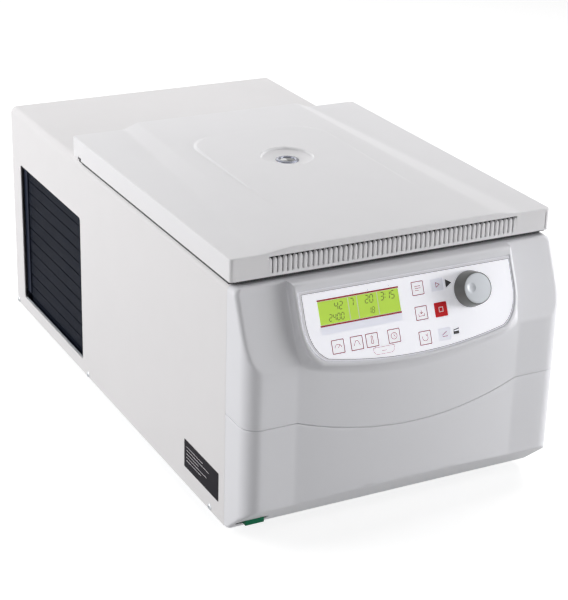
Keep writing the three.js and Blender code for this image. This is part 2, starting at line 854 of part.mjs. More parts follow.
function addHood() {
  const outer = front(hoodProfile(0), at(bodyDepth), at(0), 5);
  const inner = front(hoodProfile(sheet), at(bodyDepth + overrun), at(-overrun), 5);
  const chamberHole = disc(deckHoleRadius, deckZ - 2 * overrun, deckZ + overrun, 40, 0, at(chamberDepth));
  const ventShape = roundedRectangle(
    at(ventFrontDepth),
    at(ventRearDepth),
    baseZ + ventBottom,
    baseZ + ventTop,
    ventCorner,
  );
  const vent = side(ventShape, -half - overrun, -half + 2 * overrun, 3);
  const slots = [-1, 1].map((hand) => box(
    hand * strikerX - strikerWide / 2 - 2 * clearance,
    hand * strikerX + strikerWide / 2 + 2 * clearance,
    at(strikerDepth) - strikerSlot / 2 - strikerThick / 2,
    at(strikerDepth) + strikerSlot / 2 - strikerThick / 2,
    deckZ - 2 * overrun,
    deckZ + overrun,
  ));
  addPart('housing_cover', cut(outer.subtract(inner), [chamberHole, vent, ...slots]), 'white');
}

function addBase() {
  const outer = box(-innerHalf, innerHalf, at(bodyDepth - clearance), at(clearance), baseZ, trayWallTopZ);
  const inner = box(
    -innerHalf + sheet,
    innerHalf - sheet,
    at(bodyDepth - clearance - sheet),
    at(clearance + sheet),
    trayTopZ,
    trayWallTopZ + overrun,
  );
  addPart('base_tray', outer.subtract(inner), 'zinc');
  const places = { front_left: [-1, 1], front_right: [1, 1], rear_left: [-1, 0], rear_right: [1, 0] };
  Object.entries(places).forEach(([name, [hand, fore]]) => {
    const x = hand * (half - footInset);
    const y = at(fore ? bodyDepth - footInset : footInset);
    const top = baseZ - clearance;
    const profile = [[0, 0], [footBottomRadius, 0], [footTopRadius, top], [0, top]];
    addPart(`foot_${name}`, turned(profile, 24, x, y), 'rubber');
  });
}

function addRearPanel() {
  const low = trayWallTopZ + clearance;
  const high = deckZ - sheet - clearance;
  const w = innerHalf - bendRadius;
  const plate = box(-w, w, at(rearPanelSet + rearPanelThick), at(rearPanelSet), low, high);
  const flanges = [-1, 1].map((hand) => box(
    hand > 0 ? w - rearPanelThick : -innerHalf,
    hand > 0 ? innerHalf : -w + rearPanelThick,
    at(rearPanelSet + rearPanelThick),
    at(rearPanelSet),
    low,
    high - bendRadius,
  ));
  const cutBox = (x, z, wide, tall) => box(
    x - wide / 2,
    x + wide / 2,
    at(rearPanelSet + rearPanelThick + overrun),
    at(rearPanelSet - overrun),
    z - tall / 2,
    z + tall / 2,
  );
  const slots = Array.from({ length: rearSlotCount }, (_, i) => cutBox(
    (i - (rearSlotCount - 1) / 2) * rearSlotPitch - inletX / 2,
    baseZ + bodyHeight / 2,
    rearSlotWide,
    rearSlotHigh,
  ));
  const inletHole = cutBox(inletX, baseZ + inletUp, inletWide + 2 * clearance, inletHigh + 2 * clearance);
  const switchHole = cutBox(switchX, baseZ + inletUp, switchWide + 2 * clearance, switchHigh + 2 * clearance);
  addPart('rear_panel', cut(join([plate, ...flanges]), [...slots, inletHole, switchHole]), 'white');
  addInlet();
  addSwitch();
}

function addInlet() {
  const z = baseZ + inletUp;
  const outside = at(rearPanelSet - clearance);
  const lipBack = outside + inletLip;
  const inner = outside - inletLong;
  const lip = box(
    inletX - inletWide / 2 - inletRim,
    inletX + inletWide / 2 + inletRim,
    outside,
    lipBack,
    z - inletHigh / 2 - inletRim,
    z + inletHigh / 2 + inletRim,
  );
  const body = box(
    inletX - inletWide / 2,
    inletX + inletWide / 2,
    inner,
    outside,
    z - inletHigh / 2,
    z + inletHigh / 2,
  );
  const w = inletWide / 2 - inletWallThick;
  const h = inletHigh / 2 - inletWallThick;
  const mouth = polygon([
    [inletX - w, z - h],
    [inletX + w, z - h],
    [inletX + w, z + h / 3],
    [inletX + w - h / 2, z + h],
    [inletX - w + h / 2, z + h],
    [inletX - w, z + h / 3],
  ]);
  const socket = front(mouth, lipBack - inletDeep, lipBack + overrun);
  const floor = lipBack - inletDeep;
  const pins = [[-1, 0], [1, 0], [0, 1]].map(([across, rise]) => box(
    inletX + across * inletPinSpread - inletPinThick / 2,
    inletX + across * inletPinSpread + inletPinThick / 2,
    floor - overrun / 2,
    floor + inletPinLong,
    z - inletPinWide / 2 - inletPinThick + rise * inletPinWide,
    z + inletPinWide / 2 - inletPinThick + rise * inletPinWide,
  ));
  addPart('mains_inlet', join([join([lip, body]).subtract(socket), ...pins]), 'black');
}

function addSwitch() {
  const z = baseZ + inletUp;
  const outside = at(rearPanelSet - clearance);
  const frame = box(
    switchX - switchWide / 2,
    switchX + switchWide / 2,
    outside - inletLong,
    outside,
    z - switchHigh / 2,
    z + switchHigh / 2,
  );
  const lip = box(
    switchX - switchWide / 2 - inletRim / 2,
    switchX + switchWide / 2 + inletRim / 2,
    outside,
    outside + inletLip,
    z - switchHigh / 2 - inletRim / 2,
    z + switchHigh / 2 + inletRim / 2,
  );
  const w = switchWide / 2 - inletWallThick;
  const h = switchHigh / 2 - inletWallThick;
  const mouth = outside + inletLip + overrun;
  const well = box(switchX - w, switchX + w, outside - rockerLong, mouth, z - h, z + h);
  addPart('mains_switch', join([frame, lip]).subtract(well), 'black');

  const tilt = THREE.MathUtils.degToRad(rockerTiltDegrees);
  const pivotY = outside - rockerLong / 3;
  const face = outside + inletLip - pivotY;
  const reach = h - inletWallThick / 2;
  const rocker = polygon([
    [pivotY - inletWallThick, z - reach / 2],
    [pivotY + face, z - reach],
    [pivotY + face - reach * Math.tan(tilt) / 2, z],
    [pivotY + face, z + reach],
    [pivotY - inletWallThick, z + reach / 2],
  ]);
  addPart('switch_rocker', side(rocker, switchX - w + clearance, switchX + w - clearance), 'dark');
}

const lidRise = (depth) => THREE.MathUtils.mapLinear(
  depth,
  lidRearDepth,
  lidFrontDepth,
  lidRiseRear,
  lidRiseFront,
);
const plateauZ = (depth) => lidTopZ + lidRise(depth);

// Cross-section of the lid at one depth: flat margins, then slopes up to the middle.
function lidSection(depth, wall, bottom) {
  const w = half - wall;
  const z = lidTopZ - wall;
  const rise = lidRise(depth);
  return [
    [-w, bottom],
    [-w, z],
    [-slopeOuterHalf, z],
    [-slopeInnerHalf, z + rise],
    [slopeInnerHalf, z + rise],
    [slopeOuterHalf, z],
    [w, z],
    [w, bottom],
  ].map(([x, height]) => new THREE.Vector3(x, at(depth), height));
}

// The lid in plan, with small corners and a bowed front edge.
function lidPlan(wall) {
  const w = half - wall;
  const rear = at(lidRearDepth + wall);
  const fore = at(lidFrontDepth - wall);
  const r = Math.max(lidCornerRadius - wall, sheet);
  const shape = new THREE.Shape();
  shape.moveTo(w, rear);
  shape.lineTo(-w, rear);
  shape.lineTo(-w, fore + r);
  shape.absarc(-w + r, fore + r, r, Math.PI, 1.5 * Math.PI);
  shape.quadraticCurveTo(0, fore - 2 * lidFrontBow, w - r, fore);
  shape.absarc(w - r, fore + r, r, -Math.PI / 2, 0);
  return shape;
}

function lidBody(wall) {
  const bottom = lidBottomZ - (wall ? overrun : 0);
  const reach = lidFrontDepth + 2 * lidFrontBow;
  const block = loft([lidSection(lidRearDepth, wall, bottom), lidSection(reach, wall, bottom)]);
  return block.intersect(plan(lidPlan(wall), bottom - overrun, lidTopZ + 2 * lidRiseRear, 12));
}

// The shallow raised step in the middle of the lid, fading out toward the front.
function lidStep() {
  const outline = new THREE.Shape();
  const rear = at(stepRearDepth);
  const fade = at(stepFadeDepth);
  outline.moveTo(-stepHalf, fade);
  outline.lineTo(stepHalf, fade);
  outline.lineTo(stepHalf, rear - stepCorner);
  outline.absarc(stepHalf - stepCorner, rear - stepCorner, stepCorner, 0, Math.PI / 2);
  outline.absarc(-stepHalf + stepCorner, rear - stepCorner, stepCorner, Math.PI / 2, Math.PI);
  const wedge = polygon([
    [rear, plateauZ(stepRearDepth) - lidWall / 2],
    [fade, plateauZ(stepFadeDepth) - lidWall / 2],
    [fade, plateauZ(stepFadeDepth)],
    [rear, plateauZ(stepRearDepth) + stepRise],
  ]);
  const block = plan(outline, lidTopZ - lidWall, lidTopZ + 2 * lidRiseRear, 8);
  return block.intersect(side(wedge, -stepHalf, stepHalf));
}

const dishBow = dishDepth + stepRise;
const dishBall = (dishRadius ** 2 + dishBow ** 2) / (2 * dishBow);

function dishCutter() {
  const z = plateauZ(portDepth) + stepRise;
  const floor = z - dishBow;
  const ball = dishBall;
  const sweep = Math.asin(dishRadius / ball);
  const steps = 5;
  const arc = Array.from({ length: steps + 1 }, (_, i) => {
    const angle = (sweep * i) / steps;
    return [ball * Math.sin(angle), floor + ball * (1 - Math.cos(angle))];
  });
  return turned([...arc, [dishRadius, z + overrun], [0, z + overrun]], 28, 0, at(portDepth));
}

// The band along the lid's front edge: a recess with a row of ribs that have rounded tops.
function ribBand() {
  const width = ribCount * ribPitch + ribWidth;
  const bottom = lidBottomZ + ribBandBottom;
  const top = bottom + ribBandHeight;
  const deep = at(lidFrontDepth + lidFrontBow + overrun);
  const back = at(lidFrontDepth + lidFrontBow - ribBandDeep);
  const band = box(-width / 2, width / 2, deep, back, bottom, top);
  const ribs = Array.from({ length: ribCount }, (_, i) => {
    const x = (i - (ribCount - 1) / 2) * ribPitch;
    const shape = new THREE.Shape();
    shape.moveTo(x - ribWidth / 2, bottom - overrun);
    shape.lineTo(x + ribWidth / 2, bottom - overrun);
    shape.lineTo(x + ribWidth / 2, bottom + ribShoulder);
    shape.quadraticCurveTo(x + ribWidth / 2, top - ribWidth / 2, x, top - ribWidth / 2);
    shape.quadraticCurveTo(x - ribWidth / 2, top - ribWidth / 2, x - ribWidth / 2, bottom + ribShoulder);
    return front(shape, deep - overrun, back + overrun, 2);
  });
  return cut(band, ribs);
}

function addLid() {
  const padHigh = plateauZ(portDepth) - lidWall / 2;
  const pad = disc(dishRadius + lidWall, padHigh - 2 * lidWall, padHigh, 24, 0, at(portDepth));
  const frontPad = box(
    -ribCount * ribPitch / 2 - 2 * lidWall,
    ribCount * ribPitch / 2 + 2 * lidWall,
    at(lidFrontDepth - lidWall / 2),
    at(lidFrontDepth - ribBandDeep - lidWall),
    lidBottomZ,
    lidTopZ - lidWall / 2,
  );
  const shell = join([lidBody(0), lidStep()]).subtract(lidBody(lidWall));
  const notchHalf = earOffset + earThick + pinHeadThick + 4 * clearance;
  const notches = [-1, 1].map((hand) => box(
    hand * hingeX - notchHalf,
    hand * hingeX + notchHalf,
    at(lidRearDepth + lidWall + clearance),
    at(lidRearDepth - overrun),
    lidBottomZ - overrun,
    hingeZ + eyeRadius + sheet,
  ));
  const portHole = disc(portRadius + clearance, deckZ, lidTopZ + 2 * lidRiseRear, 16, 0, at(portDepth));
  const whole = join([shell, pad, frontPad]);
  addPart('lid_shell', cut(whole, [dishCutter(), portHole, ribBand(), ...notches]), 'lid');

  const tray = box(
    -linerHalf,
    linerHalf,
    at(linerFrontDepth),
    at(linerRearDepth),
    linerZ,
    linerZ + linerThick,
  );
  const plug = turned([
    [0, linerZ - plugDrop],
    [plugRadius - plugDrop, linerZ - plugDrop],
    [plugRadius, linerZ - plugDrop / 2],
    [plugRadius, linerZ + linerThick / 2],
    [0, linerZ + linerThick / 2],
  ], 40, 0, at(chamberDepth));
  const rimHigh = lidTopZ - lidWall - clearance;
  const rim = box(-linerHalf, linerHalf, at(linerFrontDepth), at(linerRearDepth + armReach), linerZ, rimHigh);
  const rimInner = box(
    -linerHalf + linerThick,
    linerHalf - linerThick,
    at(linerFrontDepth - linerThick),
    at(linerRearDepth - overrun),
    linerZ + linerThick / 2,
    rimHigh + overrun,
  );
  const liner = join([tray, plug, rim.subtract(rimInner)]);
  addPart('lid_liner', liner.subtract(portHole), 'steel');

  const dishZ = plateauZ(portDepth) - dishDepth + clearance + portRingRadius ** 2 / (2 * dishBall);
  const port = turned([
    [0, linerZ - plugDrop],
    [portRadius, linerZ - plugDrop],
    [portRadius, dishZ],
    [portRingRadius, dishZ],
    [portRingRadius, dishZ + portRingRise / 2],
    [portRingRadius - portRingRise, dishZ + portRingRise],
    [portRadius + portRingRise, dishZ + portRingRise],
    [portRadius, dishZ + portRingRise / 2],
    [0, dishZ + portRingRise / 2],
  ], 24, 0, at(portDepth));
  addPart('lid_view_port', port, 'glass');
}

const hands = { left: -1, right: 1 };

function helix(turns, radius, pitch, stepsPerTurn, place) {
  const points = Array.from({ length: turns * stepsPerTurn + 1 }, (_, i) => {
    const angle = (2 * Math.PI * i) / stepsPerTurn;
    return place(radius * Math.cos(angle), radius * Math.sin(angle), (pitch * i) / stepsPerTurn);
  });
  return new THREE.CatmullRomCurve3(points);
}

// Round tube along a curve.
function tube(curve, radius, sides, steps) {
  const section = new THREE.Shape();
  section.absarc(0, 0, radius, 0, 2 * Math.PI);
  const ringPoints = section.getSpacedPoints(sides).slice(0, sides);
  return solidOf(new THREE.ExtrudeGeometry(new THREE.Shape(ringPoints), {
    steps,
    extrudePath: curve,
    bevelEnabled: false,
  }));
}

// A plate in side view with a round eye on the hinge line and a straight body.
function eyeOutline(points) {
  const shape = new THREE.Shape();
  const y = at(hingeDepth);
  shape.absarc(y, hingeZ, eyeRadius, 0, 2 * Math.PI);
  return { eye: shape, body: polygon(points.map(([ahead, z]) => [y - ahead, z])) };
}

function addHinges() {
  const y = at(hingeDepth);
  const footTop = deckZ + clearance + hingeFootThick;
  const armLow = linerZ + linerThick + clearance;
  Object.entries(hands).forEach(([name, hand]) => {
    const x = hand * hingeX;
    const earHalf = earOffset + earThick;
    const bore = bar([x - 2 * earHalf, y, hingeZ], [x + 2 * earHalf, y, hingeZ], pinRadius + clearance, 12);

    const ear = eyeOutline([
      [-eyeRadius, deckZ + clearance],
      [eyeRadius + hingeFootThick, deckZ + clearance],
      [eyeRadius, hingeZ],
      [-eyeRadius, hingeZ],
    ]);
    const ears = [-earHalf, earOffset].flatMap((start) => [
      side(ear.eye, x + start, x + start + earThick, 6),
      side(ear.body, x + start, x + start + earThick),
    ]);
    const foot = box(x - earHalf, x + earHalf, y - hingeFootReach, y + eyeRadius, deckZ + clearance, footTop);
    addPart(`hinge_bracket_${name}`, join([foot, ...ears]).subtract(bore), 'zinc');

    const arm = eyeOutline([
      [0, armLow],
      [armReach, armLow],
      [armReach, armLow + armFootThick],
      [armReach - armHeight, armLow + armHeight],
      [0, hingeZ + eyeRadius / 2],
    ]);
    const armFoot = box(
      x - armFootHalf,
      x + armFootHalf,
      y - armReach,
      y - armReach / 2,
      armLow,
      armLow + armFootThick,
    );
    const plates = [arm.eye, arm.body].map((shape) => side(shape, x - armThick / 2, x + armThick / 2, 6));
    addPart(`hinge_arm_${name}`, join([...plates, armFoot]).subtract(bore), 'zinc');

    const outer = x + hand * (earHalf + clearance);
    const pin = bar([x - hand * earHalf, y, hingeZ], [outer, y, hingeZ], pinRadius, 16);
    const head = bar([outer, y, hingeZ], [outer + hand * pinHeadThick, y, hingeZ], pinHeadRadius, 16);
    addPart(`hinge_pin_${name}`, join([pin, head]), 'steel');

    const start = x + hand * (armThick / 2 + springWire + clearance);
    const room = earOffset - armThick / 2 - 2 * springWire - 2 * clearance;
    const curve = helix(springTurns, springRadius, room / springTurns, 8, (a, b, along) => (
      new THREE.Vector3(start + hand * along, y + a, hingeZ + b)
    ));
    addPart(`hinge_spring_${name}`, tube(curve, springWire, 5, springTurns * 8), 'steel');
  });
}

function addChamber() {
  const y = at(chamberDepth);
  const flangeZ = deckZ + clearance;
  const r = bowlFloorRadius;
  const bend = (radius, wall) => [1, 2].map((i) => {
    const angle = (i * Math.PI) / 6;
    return [radius - r + (r - wall) * Math.sin(angle), floorZ + r - (r - wall) * Math.cos(angle)];
  });
  const outside = [1, 2].map((i) => {
    const angle = (i * Math.PI) / 6;
    return [outerBowl - r + r * Math.sin(angle), floorZ - bowlWall + r - r * Math.cos(angle)];
  });
  const inside = bend(bowlRadius, 0).reverse();
  addPart('chamber_bowl', turned([
    [bowlHole, floorZ - bowlWall],
    [outerBowl - r, floorZ - bowlWall],
    ...outside,
    [outerBowl, floorZ - bowlWall + r],
    [outerBowl, flangeZ],
    [bowlRadius + bowlFlange, flangeZ],
    [bowlRadius + bowlFlange, flangeZ + bowlWall],
    [bowlRadius, flangeZ + bowlWall],
    [bowlRadius, floorZ + r],
    ...inside,
    [bowlRadius - r, floorZ],
    [bowlHole, floorZ],
    [bowlHole, floorZ - bowlWall],
  ], 30, 0, y), 'steel');

  const foamFloor = floorZ - bowlWall - clearance;
  const foamTop = deckZ - sheet - clearance;
  addPart('chamber_insulation', turned([
    [bowlHole, foamFloor - foamThick],
    [foamOuter, foamFloor - foamThick],
    [foamOuter, foamTop],
    [foamInner, foamTop],
    [foamInner, foamFloor],
    [bowlHole, foamFloor],
    [bowlHole, foamFloor - foamThick],
  ], 30, 0, y), 'foam');

  const gasketZ = flangeZ + bowlWall + clearance;
  const gasketTop = linerZ - clearance;
  const gasketOuter = gasketInner + gasketWidth;
  addPart('chamber_gasket', turned([
    [gasketInner, gasketZ],
    [gasketOuter, gasketZ],
    [gasketOuter - gasketWidth / 4, gasketTop],
    [gasketInner + gasketWidth / 4, gasketTop],
    [gasketInner, gasketZ],
  ], 30, 0, y), 'rubber');

  const coilRadius = outerBowl + coilTube + coilSlack;
  const coilTop = deckZ - coilTopDrop;
  const curve = helix(coilTurns, coilRadius, coilPitch, coilSteps, (a, b, along) => (
    new THREE.Vector3(a, y + b, coilTop - along)
  ));
  addPart('evaporator_coil', tube(curve, coilTube, 5, coilTurns * coilSteps), 'copper');
}

function addDrive() {
  const y = at(chamberDepth);
  const mountZ = trayTopZ + clearance;
  const motorZ = mountZ + mountHeight + clearance;
  const shaftZ = motorTopZ - shaftDip;
  for (let i = 0; i < motorMounts; i += 1) {
    const angle = (2 * Math.PI * i) / motorMounts + Math.PI / 2;
    const profile = [
      [0, mountZ],
      [mountRadius, mountZ],
      [mountWaist, mountZ + mountHeight / 2],
      [mountRadius, mountZ + mountHeight],
      [0, mountZ + mountHeight],
    ];
    const mount = turned(profile, 16, mountCircle * Math.cos(angle), y + mountCircle * Math.sin(angle));
    addPart(`motor_mount_${i + 1}`, mount, 'rubber');
  }
  addPart('drive_motor', turned([
    [0, motorZ],
    [motorFlangeRadius, motorZ],
    [motorFlangeRadius, motorZ + motorFlangeThick],
    [motorRadius, motorZ + motorFlangeThick],
    [motorRadius, motorTopZ - motorFlangeThick],
    [motorRadius - motorFlangeThick, motorTopZ],
    [shaftRadius + clearance, motorTopZ],
    [shaftRadius + clearance, shaftZ - clearance],
    [0, shaftZ - clearance],
  ], 24, 0, y), 'zinc');

  const seatZ = floorZ + rotorLift;
  const coneZ = seatZ + shaftConeRise / 4;
  const coneTop = coneZ + shaftConeRise;
  const tipZ = seatZ + shaftShoulder;
  addPart('drive_shaft', turned([
    [0, shaftZ],
    [shaftRadius, shaftZ],
    [shaftRadius, coneZ],
    [shaftTipRadius, coneTop],
    [shaftTipRadius, tipZ],
    [0, tipZ],
  ], 24, 0, y), 'steel');

  const top = seatZ + rotorHeight;
  const tilt = THREE.MathUtils.degToRad(tubeAngleDegrees);
  const hubTop = top - rotorHubDrop;
  const bowlFloor = top - rotorDish;
  const body = turned([
    [shaftRadius + clearance, seatZ],
    [rotorFootRadius, seatZ],
    [rotorRadius, seatZ + rotorFlare],
    [rotorRadius, top - rotorRim],
    [rotorRadius - rotorRim, top],
    [rotorTopRadius, top],
    [rotorDishRadius, bowlFloor],
    [rotorHubRadius, bowlFloor],
    [rotorHubRadius, hubTop],
    [0, hubTop],
    [0, tipZ + clearance],
    [shaftTipRadius + clearance, tipZ + clearance],
    [shaftTipRadius + clearance, coneTop],
    [shaftRadius + clearance, coneZ],
    [shaftRadius + clearance, seatZ],
  ], 24, 0, y);
  const mouthZ = THREE.MathUtils.mapLinear(tubeMouthRadius, rotorDishRadius, rotorTopRadius, bowlFloor, top);
  const bores = Array.from({ length: tubeBores }, (_, i) => {
    const angle = (2 * Math.PI * i) / tubeBores;
    const point = (along) => {
      const radius = tubeMouthRadius + along * Math.sin(tilt);
      return [radius * Math.cos(angle), y + radius * Math.sin(angle), mouthZ - along * Math.cos(tilt)];
    };
    return bar(point(-2 * overrun), point(tubeBoreDepth), tubeBoreRadius, 8);
  });
  addPart('rotor', cut(body, bores), 'aluminium');

  const lidZ = top + clearance;
  addPart('rotor_lid', turned([
    [0, hubTop + clearance],
    [rotorHubRadius - rotorLidThick / 2, hubTop + clearance],
    [rotorHubRadius - rotorLidThick / 2, lidZ],
    [rotorLidRadius, lidZ],
    [rotorLidRadius, lidZ + rotorLidThick / 2],
    [rotorLidRadius - rotorLidThick, lidZ + rotorLidThick],
    [rotorNutRadius, lidZ + rotorLidThick],
    [rotorNutRadius, lidZ + rotorNutHeight - rotorLidThick / 2],
    [rotorNutRadius - rotorLidThick / 2, lidZ + rotorNutHeight],
    [0, lidZ + rotorNutHeight],
  ], 24, 0, y), 'dark');
}

function addLock() {
  const y = at(strikerDepth);
  const flangeTop = linerZ - clearance;
  const bottom = linerZ - strikerDrop;
  const tongueZ = bottom + strikerWindowLift + strikerWindow / 2;
  Object.entries(hands).forEach(([name, hand]) => {
    const x = hand * strikerX;
    const plate = box(
      x - strikerWide / 2,
      x + strikerWide / 2,
      y - strikerThick / 2,
      y + strikerThick / 2,
      bottom,
      flangeTop,
    );
    const flange = box(
      x - strikerWide / 2,
      x + strikerWide / 2,
      y - strikerWide / 2,
      y + strikerWide / 2,
      flangeTop - strikerFlange,
      flangeTop,
    );
    const window = box(
      x - strikerWindow / 2,
      x + strikerWindow / 2,
      y - strikerThick,
      y + strikerThick,
      tongueZ - strikerWindow / 2,
      tongueZ + strikerWindow / 2,
    );
    addPart(`lid_striker_${name}`, join([plate, flange]).subtract(window), 'steel');
  });

  const top = deckZ - sheet - clearance;
  const block = box(-lockHalf, lockHalf, at(lockFrontDepth), at(lockRearDepth), top - lockHeight, top);
  const cutters = Object.values(hands).flatMap((hand) => {
    const x = hand * strikerX;
    const tongueHalf = tongueWide / 2 + clearance;
    return [
      box(
        x - strikerWide / 2 - 2 * clearance,
        x + strikerWide / 2 + 2 * clearance,
        y - strikerSlot / 2 - strikerThick / 2,
        y + strikerSlot / 2 - strikerThick / 2,
        bottom - overrun,
        top + overrun,
      ),
      box(
        x - tongueHalf,
        x + tongueHalf,
        at(lockFrontDepth + overrun),
        y + strikerThick + tongueRetract,
        tongueZ - tongueHalf,
        tongueZ + tongueHalf,
      ),
    ];
  });
  addPart('lid_lock_body', cut(block, cutters), 'dark');

  const barRear = at(lockFrontDepth + lockTravel + 2 * clearance);
  const strip = box(
    -lockBarHalf,
    lockBarHalf,
    barRear - lockBarDeep,
    barRear,
    tongueZ - tongueWide / 2,
    tongueZ + tongueWide / 2,
  );
  const tongues = Object.values(hands).map((hand) => box(
    hand * strikerX - tongueWide / 2,
    hand * strikerX + tongueWide / 2,
    barRear - lockBarDeep / 2,
    y - strikerThick / 2 - tongueRetract,
    tongueZ - tongueWide / 2,
    tongueZ + tongueWide / 2,
  ));
  addPart('lid_lock_bar', join([strip, ...tongues]), 'steel');

  const chinAt = foldDepth - chinDepth + (tabLift * chinDepth) / chinHeight;
  const z = baseZ + tabLift;
  const stem = box(
    tabX - tabWide / 2,
    tabX + tabWide / 2,
    at(chinAt + tabProud),
    at(chinAt + tabProud - tabLong),
    z - tabHigh / 2,
    z + tabHigh / 2,
  );
  const nail = box(
    tabX - tabWide / 2 + tabGrip,
    tabX + tabWide / 2 - tabGrip,
    at(chinAt + tabProud - tabGrip / 2),
    at(chinAt + tabProud - tabGrip),
    z - tabHigh,
    z - tabHigh / 4,
  );
  addPart('emergency_release_tab', stem.subtract(nail), 'green');
}

function addCooling() {
  const margin = condenserMargin;
  const x0 = -innerHalf + sheet + 2 * clearance;
  const x1 = x0 + condenserThick;
  const rear = at(ventRearDepth - margin);
  const fore = at(ventFrontDepth + margin);
  const low = trayTopZ + clearance;
  const high = baseZ + ventTop + margin;
  const core = box(x0, x1, fore, rear, low, high);
  const pitch = (ventFrontDepth - ventRearDepth - finFrame) / condenserFins;
  const grooves = Array.from({ length: condenserFins }, (_, i) => {
    const y = at(ventRearDepth + finFrame) - i * pitch;
    const top = high - 2 * margin;
    return box(x0 - overrun, x0 + finGrooveDeep, y - pitch + finThick, y, baseZ + ventBottom, top);
  });
  const bendX = (x0 + x1) / 2;
  const rise = (high - low) / (2 * bendCount);
  const bends = Array.from({ length: bendCount }, (_, i) => {
    const z = low + rise * (2 * i + 1) - rise / 2;
    const points = [0, 1, 2, 3, 4, 5, 6].map((k) => {
      const angle = (Math.PI * k) / 6;
      const out = (rise / 2) * Math.sin(angle);
      return new THREE.Vector3(bendX, fore + margin / 2 - out * 2, z + (rise / 2) * (1 - Math.cos(angle)));
    });
    return tube(new THREE.CatmullRomCurve3(points), bendTubeRadius, 6, 6);
  });
  addPart('condenser', join([cut(core, grooves), ...bends]), 'navy');

  const fanY = at((ventFrontDepth + ventRearDepth) / 2);
  const fanZ = baseZ + (ventBottom + ventTop) / 2;
  const plateX = x1 + clearance;
  const fanX = plateX + shroudThick / 2;
  const motorX = fanX + fanHubLong + shroudGap;
  const plate = box(plateX, plateX + shroudThick, fore, rear, low, high);
  const axis = (x) => [x, fanY, fanZ];
  const mouth = bar(axis(plateX - overrun), axis(fanX + 2 * overrun), fanRadius + shroudGap, 28);
  const legAt = (fanRadius + shroudGap + strutWide / 2) * Math.SQRT1_2;
  const legs = [-1, 1].flatMap((a) => [-1, 1].flatMap((b) => {
    const y = fanY + a * legAt;
    const z = fanZ + b * legAt;
    const w = strutWide / 2;
    const inward = fanMotorRadius / 2;
    return [
      box(plateX + shroudThick / 2, motorX + strutWide, y - w, y + w, z - w, z + w),
      bar([motorX + w, y, z], [motorX + w, fanY + a * inward, fanZ + b * inward], w, 6),
    ];
  }));
  const can = bar(axis(motorX), axis(motorX + fanMotorLong), fanMotorRadius, 24);
  const seatX = motorX + fanMotorLong / 2;
  const seat = bar(axis(motorX - overrun), axis(seatX), pinRadius + clearance, 16);
  const frame = join([plate.subtract(mouth), ...legs, can]).subtract(seat);
  addPart('fan_shroud', frame, 'zinc');

  const hubEnd = fanX + fanHubLong;
  const hub = bar(axis(fanX + clearance), axis(hubEnd), fanHubRadius, 20);
  const axle = bar(axis(hubEnd - overrun), axis(seatX - overrun / 2), pinRadius, 12);
  const blades = Array.from({ length: fanBlades }, (_, i) => {
    const shape = new THREE.Shape();
    const root = fanHubRadius - bladeThick;
    shape.moveTo(-bladeRootChord / 2, root);
    shape.lineTo(bladeRootChord / 2, root);
    shape.quadraticCurveTo(bladeChord / 2, bladeBellyRadius, bladeTipChord / 2, fanRadius - bladeThick);
    shape.lineTo(-bladeTipChord / 2, fanRadius - 2 * bladeThick);
    shape.quadraticCurveTo(-bladeChord / 2, bladeBellyRadius, -bladeRootChord / 2, root);
    const geometry = pull(shape, bladeThick, 3);
    geometry.translate(0, 0, -bladeThick / 2);
    geometry.rotateX(Math.PI / 2);
    geometry.rotateZ(Math.PI / 2 - THREE.MathUtils.degToRad(bladePitchDegrees));
    geometry.rotateX((2 * Math.PI * i) / fanBlades);
    geometry.translate(fanX + fanHubLong / 2, fanY, fanZ);
    return solidOf(geometry);
  });
  addPart('condenser_fan', join([hub, axle, ...blades]), 'black');
}

function addCompressor() {
  const y = at(compressorDepth);
  const low = trayTopZ + clearance;
  const r = compressorRadius;
  const top = low + compressorFoot + compressorHeight;
  const pot = turned([
    [0, low + compressorFoot / 2],
    [r * potFootShare, low + compressorFoot / 2],
    [r, low + compressorHeight * potShoulderShare],
    [r, top - compressorHeight * potShoulderShare],
    [r * potCrownShare, top - compressorHeight * potShoulderShare / 3],
    [r * potCrownShare / 2, top],
    [0, top],
  ], 32, compressorX, y);
  const s = compressorFootSize / 2;
  const foot = plan(
    roundedRectangle(compressorX - s, compressorX + s, y - s, y + s, compressorFootCorner),
    low,
    low + compressorFoot,
    3,
  );
  const terminals = box(
    compressorX + r - terminalBox / 2,
    compressorX + r + terminalBox / 2,
    y - terminalBox / 2,
    y + terminalBox / 2,
    low + compressorHeight / 2,
    low + compressorHeight / 2 + terminalBox,
  );
  addPart('compressor', join([pot, foot, terminals]), 'black');

  const v = (x, depth, z) => new THREE.Vector3(x, at(depth), z);
  const pipeX = -innerHalf + sheet + 2 * clearance + condenserThick / 2;
  const pipeTop = baseZ + ventTop + condenserMargin + pipeRise;
  const start = top + pipeRadius / 2;
  const end = baseZ + ventTop + condenserMargin + clearance;
  const curve = new THREE.CatmullRomCurve3([
    v(compressorX, compressorDepth, start),
    v(compressorX, compressorDepth, pipeTop - pipeRise / 3),
    v(compressorX - pipeRise / 2, compressorDepth, pipeTop),
    v((compressorX + pipeX) / 2, compressorDepth - pipeRise / 2, pipeTop),
    v(pipeX + pipeRise / 2, compressorDepth - pipeRise, pipeTop),
    v(pipeX, compressorDepth - pipeRise, pipeTop - pipeRise / 3),
    v(pipeX, compressorDepth - pipeRise, end),
  ]);
  addPart('discharge_pipe', tube(curve, pipeRadius, 8, 30), 'copper');
}

